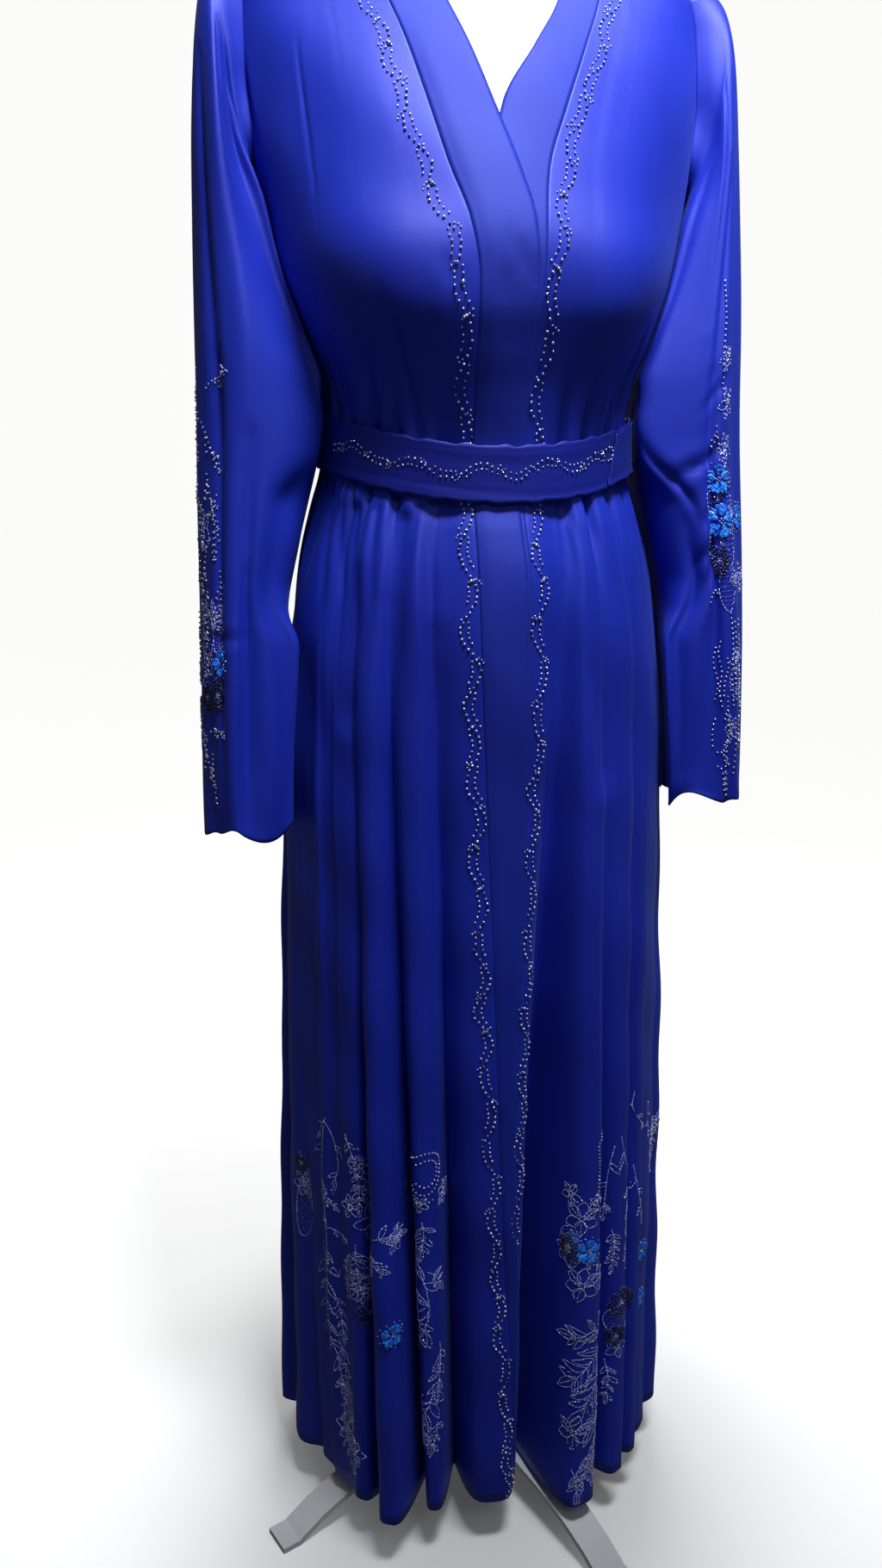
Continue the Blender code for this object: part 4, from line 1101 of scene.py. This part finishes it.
# Stems on the skirt, lengths in mm: degrees and height at the start, leaf length, gap of leaves, mirror,
# leaves in pairs or not, then the line from there, in turn across and up
SPRAYS = (
    (-58, 457, 20, 38, 1, 0, -6, -32, -10, -64, -4, -92, -1, -120, -3, -150),
    (-58, 455, 10, 12, 1, 0, -9, -10, -15, -20), (-58, 452, 18, 30, -1, 0, 10, -16, 16, -40, 12, -58),
    (-61, 385, 10, 7, 1, 1, 6, -14, 18, -20), (-60, 335, 14, 16, 1, 0, 12, 4, 26, 2),
    (-62.5, 316, 23, 22, 1, 1, 8, -35, 6, -60, 11, -98, 22, -124, 28, -152),
    (-57, 270, 16, 12, -1, 1, 10, -20, 14, -45), (-54, 215, 19, 14, 1, 1, 8, -30, 10, -70, 12, -105),
    (-49, 180, 16, 12, -1, 1, 0, -30, 6, -62, 12, -90), (-52, 110, 14, 10, 1, 1, 6, -16, 14, -30),
    (-47.5, 452, 13, 11, 1, 1, 8, -20, 13, -45, 14, -70), (-36.5, 356, 17, 9, 1, 1, 14, 4, 30, 0),
    (-38, 342, 14, 8, -1, 1, 8, -10, 18, -14), (-44, 338, 17, 9, 1, 1, 1, -25, 6, -55),
    (-40, 328, 16, 8, -1, 1, 3, -22, 10, -45), (-47, 322, 13, 9, 1, 1, -6, -16, -6, -40),
    (-25.5, 353, 30, 26, 1, 0, 6, -20, 17, -47, 25, -76, 21, -105, 6, -138, -2, -170),
    (-24.8, 346, 24, 17, -1, 0, -6, -30, -2, -60, 8, -85), (-22, 320, 18, 10, 1, 1, 8, -6, 17, -18),
    (-23.5, 376, 15, 10, 1, 1, 2, -16, 0, -32), (-19, 238, 22, 14, 1, 1, 2, -20, -2, -45),
    (-20.5, 196, 24, 11, 1, 1, -2, -18, -10, -38, -14, -56), (-22.8, 152, 16, 9, -1, 1, -3, -12, -6, -22),
    (-19.5, 158, 16, 10, -1, 1, 0, -14, -4, -30), (-78, 398, 14, 10, 1, 1, 6, -20, 10, -40),
    (46.5, 469, 12, 16, 1, 0, -1, -18, 10, -36, 22, -46), (60, 440, 10, 12, -1, 0, 0, -18, 2, -34),
    (66, 412, 13, 8, 1, 1, 2, -22, 0, -52), (73, 404, 13, 8, -1, 1, 2, -18, -2, -44),
    (37.5, 432, 17, 22, 1, 0, 5, -22, 14, -50, 10, -82), (35, 425, 18, 22, -1, 0, -6, -28, -10, -66),
    (46.5, 388, 17, 16, 1, 0, 4, -24, 12, -58), (39, 347, 16, 12, -1, 1, 10, -24, 8, -52),
    (34.5, 335, 12, 7, 1, 1, 3, -18, 0, -40), (28, 230, 25, 11, 1, 1, -18, 12, -38, 10),
    (28, 222, 30, 12, -1, 1, -18, -10, -40, -26), (28, 210, 30, 13, 1, 1, -13, -22, -34, -48),
    (28, 194, 26, 14, -1, 0, -8, -24, -24, -56), (28, 170, 22, 12, 1, 1, -3, -24, -10, -48, -20, -66),
    (27, 128, 21, 11, -1, 1, -4, -22, -12, -44), (23.5, 112, 18, 10, 1, 1, -4, -18, -10, -36),
    (18, 92, 17, 10, 1, 1, 4, -12, 4, -26), (33.5, 186, 14, 10, 1, 1, 4, -20, 2, -40),
)

# Outlined flowers on the skirt, lengths in mm: degrees, height, size, petals
BLOOMS = (
    (-42.5, 421, 13, 5), (-42, 392, 13, 5), (-40, 361, 19, 6), (-31, 352, 12, 5), (-43.5, 290, 17, 6),
    (-50, 114, 16, 6), (-45.5, 100, 13, 5), (-18.5, 392, 13, 6), (-24, 392, 9, 5), (-24.5, 168, 11, 6),
    (-76.5, 362, 15, 6), (-46, 375, 12, 5), (21, 367, 18, 6), (19.5, 390, 12, 5), (25, 380, 10, 5),
    (18.6, 328, 14, 6), (20.5, 297, 19, 6), (26.5, 300, 13, 5), (23.5, 322, 10, 5), (68, 382, 15, 6),
    (75, 396, 12, 5), (36, 200, 13, 5), (18.5, 134, 18, 6), (24.5, 140, 10, 5),
)

# Turquoise and navy flowers on the skirt, lengths in mm: degrees, height, size
BLUES = (
    (-31, 257, 14), (22.4, 332, 14.5), (57, 272, 12.5), (56.5, 216, 11), (19.6, 345, 7),
)
NAVIES = (
    (-38.5, 212, 15), (-41, 262, 15), (-29.5, 400, 9), (37.5, 249, 17), (35.5, 214, 13), (45, 240, 11),
    (-77.5, 385, 11), (18.9, 334, 15),
)

# Patches of small beads on the skirt, lengths in mm: degrees, height, half width, half height, turn
NETS = (
    (-76, 338, 11, 34, -6), (-42, 306, 11, 19, 12), (70, 375, 11, 26, 8), (37, 232, 16, 14, 0),
    (-49, 135, 9, 20, -8), (18.9, 334, 10, 19, 0),
)


def embroider_skirt():
    def spot(angle, height):
        return on_skirt, angle, height / 1000

    def outlined(angle, height, lines, skip):
        stitch("thread", spot(angle, height), lines, skip=0.05)
        stitch("silver", spot(angle, height), lines, size=0.0015, long=0.0018, skip=skip)

    def beaded(angle, height, lines, step=0.0036, size=0.0018):
        stitch("silver", spot(angle, height), lines, step, size, 0.0021)

    for angle, height, long, gap, mirror, pairs, *line in SPRAYS:
        outlined(angle, height, spray(from_origin(line), long / 1000, gap / 1000, mirror, pairs), 0.88)
    for angle, height, size, petals in BLOOMS:
        outlined(angle, height, bloom(size / 1000, petals, RNG.uniform(0, 60)), 0.84)
        lay("silver", spot(angle, height), ring_of(4, 0.002), 0.0015)
    for angle, height, wide, high, turn in NETS:
        net_patch(spot(angle, height), wide / 1000, high / 1000, turn)
    for flower, table in ((blue_flower, BLUES), (dark_flower, NAVIES)):
        for angle, height, size in table:
            flower(spot(angle, height), size / 1000)
    horseshoe = smooth_line(((-0.014, 0.010), (0.000, 0.016), (0.013, 0.008), (0.012, -0.010), (-0.002, -0.018),
                             (-0.014, -0.012)))
    beaded(-22.0, 424, [horseshoe * 1.25, horseshoe * 0.8], 0.0038, 0.0019)
    beaded(-24.0, 398, [smooth_line(((-0.012, 0.004), (0.000, -0.006), (0.014, -0.002)))])
    stitch("thread", spot(-56.0, 292), curl(0.010, 0.9, 60), skip=0.05)
    beaded(26.0, 440, [smooth_line(from_origin(line)) for line in ((16, 8, 34, 10), (1, -24, 0, -50))])


embroider_fronts()
embroider_skirt()


def body_surface(first, second):
    """Outer face of the body cloth, and its normals, at angles and heights."""
    angles = np.concatenate([first, first + 0.35, first])
    heights = np.concatenate([second, second, second + 0.0012])
    points = body(angles, heights).reshape(3, -1, 3)
    normal = unit(np.cross(points[1] - points[0], points[2] - points[0]))
    outwards = np.stack([np.sin(np.radians(first)), -np.cos(np.radians(first)), 0 * first], 1)
    normal *= np.sign(np.sum(normal * outwards, 1, keepdims=True))
    return points[0] + normal * (CLOTH / 2 + CLOTH_SHELL / 2), normal


def grid_surface(grid, closed, shell):
    """Reader of a sleeve's or the belt's outer face, and its normals, between its rows and columns."""
    normals = grid_normals(grid, closed)
    rows, columns = grid.shape[:2]

    def read(row, column):
        row = np.clip(row, 0, rows - 1.001)
        column = column % columns if closed else np.clip(column, 0, columns - 1.001)
        low, left = row.astype(int), column.astype(int)
        right = (left + 1) % columns
        t, s = (row - low)[:, None], (column - left)[:, None]
        point, way = ((source[low, left] * (1 - t) + source[low + 1, left] * t) * (1 - s)
                      + (source[low, right] * (1 - t) + source[low + 1, right] * t) * s
                      for source in (grid, normals))
        way = unit(way)
        return point + way * (CLOTH / 2 + shell / 2), way
    return read


def on_sleeve(angle, height, flat):
    """Rows and columns of a sleeve's grid for flat points laid from a turn in degrees and a share down."""
    row = (height - flat[:, 1] / MOTIF_LENGTH) * (SLEEVE_ROWS - 1)
    column = (angle - flat[:, 0] / MOTIF_DEGREE) / 360 * SLEEVE_AROUND
    return np.stack([row, column], 1)


def on_left_sleeve(angle, height, flat):
    return on_sleeve(angle, height, flat * (-1, 1))


# Motifs of the sleeves: kind, turn in degrees and thousandths down, then its size in mm, or its line from
# there, in turn across and up in mm
RIGHT_SLEEVE = (
    ("spray", 158, 572, -4, -20, 0, -45), ("spray", 142, 590, 10, 8, 20, 12), ("spray", 150, 615, 8, -8, 18, -20),
    ("spray", 160, 650, 2, -20, 8, -44), ("spray", 145, 650, 6, -16, 14, -30),
    ("spray", 130, 672, -4, -14, -2, -32), ("bloom", 150, 705, 13), ("spray", 136, 712, -10, -10, -16, -26),
    ("spray", 160, 722, 4, -22, 12, -40), ("spray", 126, 738, 4, -14, 2, -30), ("spray", 144, 748, 6, -18, 4, -36),
    ("bloom", 152, 788, 15), ("bloom", 130, 782, 11), ("net", 140, 800, 9), ("net", 124, 800, 8),
    ("blue", 121, 826, 13), ("bloom", 142, 828, 12), ("net", 156, 832, 9), ("navy", 125, 858, 15),
    ("navy", 143, 862, 13), ("spray", 157, 868, 2, -16, 8, -30), ("spray", 140, 897, 12, 4, 22, 2),
    ("spray", 152, 905, 6, -12, 14, -22), ("spray", 134, 916, -2, -12, 4, -26), ("blue", 172, 840, 10),
    ("spray", 176, 780, 2, -20, 12, -40), ("bloom", 168, 905, 12), ("navy", 182, 880, 12),
    ("spray", 185, 640, 4, -22, 2, -50),
)
LEFT_SLEEVE = (
    ("line", 109, 470, 2, -30, -1, -62, 1, -90), ("bloom", 113, 550, 9), ("bloom", 114, 592, 11),
    ("bloom", 112, 632, 11), ("spray", 104, 602, -2, -10, 2, -24), ("blue", 102, 660, 13.5), ("blue", 101, 700, 16),
    ("navy", 96, 738, 14), ("net", 109, 672, 10), ("net", 93, 680, 7), ("net", 109, 722, 10), ("net", 90, 720, 6),
    ("net", 103, 768, 10), ("bloom", 114, 700, 10), ("bloom", 116, 760, 10),
    ("line", 93, 772, -8, 4, -15, 0, -16, -7), ("line", 104, 790, 3, -24, 0, -50, 3, -78),
    ("line", 110, 800, 3, -20, 0, -44, 2, -66), ("line", 92, 820, -4, -12, -1, -26, -5, -42, -2, -56),
    ("line", 87, 826, -4, -14, 0, -30, -4, -46), ("line", 97, 838, 2, -10, -4, -20, -6, -34),
    ("spray", 97, 880, 1, -20, -1, -44, 0, -68), ("net", 108, 868, 7), ("bloom", 112, 845, 11),
    ("line", 109, 905, 4, -20, 0, -46), ("line", 84, 905, -3, -12, -3, -26), ("bloom", 104, 918, 12),
    ("line", 83, 944, 8, 1, 14, -10, 15, -24), ("line", 83, 957, 6, 0, 10, -9, 11, -20), ("blue", 136, 700, 11),
    ("bloom", 140, 760, 12), ("spray", 136, 860, 4, -26, 0, -50), ("spray", 126, 800, 4, -30, 2, -60),
)


def embroider_sleeve(place, motifs):
    for kind, turn, down, *shape in motifs:
        spot = (place, turn, down / 1000)
        size = shape[0] / 1000
        if kind == "spray":
            lines = spray(from_origin(shape), 0.014, 0.013, pairs=False)
            stitch("silver", spot, lines, 0.0038, 0.0018, 0.0019, 0.06)
        elif kind == "line":
            stitch("silver", spot, [smooth_line(from_origin(shape))], 0.0040, 0.0020, 0.0020)
        elif kind == "bloom":
            stitch("thread", spot, bloom(size, 5, 20), skip=0.08)
            lay("silver", spot, ring_of(4, 0.002), 0.0014)
        elif kind == "blue":
            blue_flower(spot, size)
        elif kind == "navy":
            dark_flower(spot, size)
        else:
            net_patch(spot, size, size * 1.6)


# The belt's front as a grid: its first and last angle, and its columns; metres for one degree round it
BELT_FIRST, BELT_LAST, BELT_COLUMNS = -80.0, 60.0, 281
BELT_DEGREE = 0.0022


def on_belt(angle, height, flat):
    """Rows and columns of the belt's front for flat points: metres across and up."""
    row = (flat[:, 1] / BELT_WIDTH + 0.5) * (BELT_ROWS - 1)
    column = (flat[:, 0] / BELT_DEGREE - BELT_FIRST) / (BELT_LAST - BELT_FIRST) * (BELT_COLUMNS - 1)
    return np.stack([row, column], 1)


def embroider_belt():
    turns = (-66, -50, -34, -18, -2, 12, 26, 36, 42)
    line = [(a * BELT_DEGREE, 0.003 + 0.002 * math.sin(a / 17.0)) for a in turns]
    vine(on_belt, line, 1.1, ((-1.0, 0.050, 0.0072), (1.0, 0.050, 0.0072)), 0.80)
    flourish = smooth_line(((0.000, 0.004), (0.008, 0.010), (0.016, 0.006), (0.014, -0.003), (0.007, -0.002)))
    stitch("silver", (on_belt, 0, 0), [flourish + (0.090, 0.003)], 0.0042, 0.0020, 0.0023)


def bead_shape(kind):
    """Points and faces of one bead, stitch or petal, made once and copied."""
    if kind == "round":
        bpy.ops.mesh.primitive_uv_sphere_add(segments=6, ring_count=4, radius=0.5)
    elif kind == "bugle":
        bpy.ops.mesh.primitive_cylinder_add(vertices=5, radius=0.5, depth=1.0, rotation=(0, math.pi / 2, 0))
        bpy.ops.object.transform_apply(location=False, rotation=True, scale=False)
    else:
        bpy.ops.mesh.primitive_cylinder_add(vertices=9, radius=0.5, depth=0.16)
    made = bpy.context.active_object
    bpy.ops.object.mode_set(mode="EDIT")
    work = bmesh.from_edit_mesh(made.data)
    if kind == "bugle":
        for vertex in work.verts:
            vertex.co.x += 0.10 * (1 if vertex.co.x > 0 else -1) * (vertex.co.z > 0.2)
    if kind == "petal":
        for face in work.faces:
            face.select = len(face.verts) == 9 and face.normal.z > 0
        bpy.ops.mesh.inset(thickness=0.14, depth=0.07)
        for vertex in work.verts:
            x = vertex.co.x + 0.5
            vertex.co.y *= 0.55 + 0.75 * x - 0.3 * x * x
            vertex.co.z += 0.22 * x * x - 0.30 * abs(vertex.co.y) ** 1.5
    bmesh.update_edit_mesh(made.data)
    bpy.ops.object.mode_set(mode="OBJECT")
    points = np.array([vertex.co[:] for vertex in made.data.vertices])
    faces = [list(face.vertices) for face in made.data.polygons]
    bpy.data.objects.remove(made, do_unlink=True)
    return points, faces


def scatter(name, kind, rows, surface, material, lift, flat=1.0):
    """One mesh of all the beads of a kind on one surface."""
    rows = np.concatenate(rows)
    points, faces = SHAPES[kind]
    first, normal = surface(rows[:, 0], rows[:, 1])
    last, _ = surface(rows[:, 2], rows[:, 3])
    along = last - first
    along = unit(along - normal * np.sum(along * normal, 1, keepdims=True))
    across = np.cross(normal, along)
    size, long = rows[:, 4], rows[:, 5]
    centre = (first + last) / 2 + normal * (size * lift)[:, None]
    local = points[None] * np.stack([long, size, size * flat], 1)[:, None]
    world = (centre[:, None] + local[..., :1] * along[:, None] + local[..., 1:2] * across[:, None]
             + local[..., 2:] * normal[:, None])
    count = len(points)
    every = [[v + k * count for v in face] for k in range(len(rows)) for face in faces]
    mesh = bpy.data.meshes.new(name)
    mesh.from_pydata(world.reshape(-1, 3).tolist(), [], every)
    mesh.materials.append(material)
    if kind != "petal":
        mesh.shade_smooth()
    mesh.update()
    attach(placed(name, mesh), "root")


def shiny(name, dark, light, roughness, metallic, coat=0.0):
    """Beads and thread: the colour changes from bead to bead."""
    made, tree, shader = new_material(name, light, roughness, metallic)
    here = coordinates(tree)
    two_colours(tree, shader, noise(tree, here, 420.0, 1.0), 0.36, dark, 0.62, light)
    feed(tree, shader, {"Coat Weight": coat})
    bump(tree, shader, noise(tree, here, 900.0, 1.0), 0.0002, 0.4)
    return made


bpy.ops.object.select_all(action="DESELECT")
SHAPES = {kind: bead_shape(kind) for kind in ("round", "bugle", "petal")}
# What is laid: its material, shape, how far its middle stands off the cloth and how flat it is
FINISH = {
    "silver": (shiny("silver glass beads", (0.42, 0.46, 0.72), (0.90, 0.92, 1.00), 0.18, 0.45, 0.6),
               "round", 0.34, 0.85),
    "bright": (shiny("clear crystal beads", (0.75, 0.78, 0.85), (1.0, 1.0, 1.0), 0.05, 0.85, 1.0),
               "round", 0.34, 0.85),
    "thread": (shiny("lilac silver thread", (0.20, 0.23, 0.74), (0.56, 0.60, 1.00), 0.34, 0.16),
               "bugle", 0.20, 0.8),
    "dim": (shiny("smoky blue beads", (0.10, 0.10, 0.28), (0.36, 0.38, 0.62), 0.26, 0.50),
            "round", 0.25, 0.8),
    "navy": (shiny("navy glass beads", (0.004, 0.003, 0.040), (0.020, 0.018, 0.160), 0.10, 0.30, 0.8),
             "round", 0.30, 0.8),
    "turquoise": (shiny("turquoise foil cloth", (0.006, 0.115, 0.90), (0.040, 0.33, 1.00), 0.34, 0.10),
                  "petal", 0.05, 1.0),
}


def make_beads(where, surface):
    """Turn what has been laid so far into meshes on one surface."""
    for kind, (finish, shape, lift, flat) in FINISH.items():
        if LAID[kind]:
            scatter(where + "_" + kind + "_beads", shape, LAID[kind], surface, finish, lift, flat)
            LAID[kind] = []


make_beads("robe", body_surface)
for (node, side, drop), place, motifs in zip(SLEEVES, (on_sleeve, on_left_sleeve), (RIGHT_SLEEVE, LEFT_SLEEVE)):
    embroider_sleeve(place, motifs)
    make_beads(node, grid_surface(sleeve_grid(side, drop), True, CLOTH_SHELL))
embroider_belt()
make_beads("belt", grid_surface(belt_grid(BELT_FIRST, BELT_LAST, BELT_COLUMNS), False, BELT_SHELL))
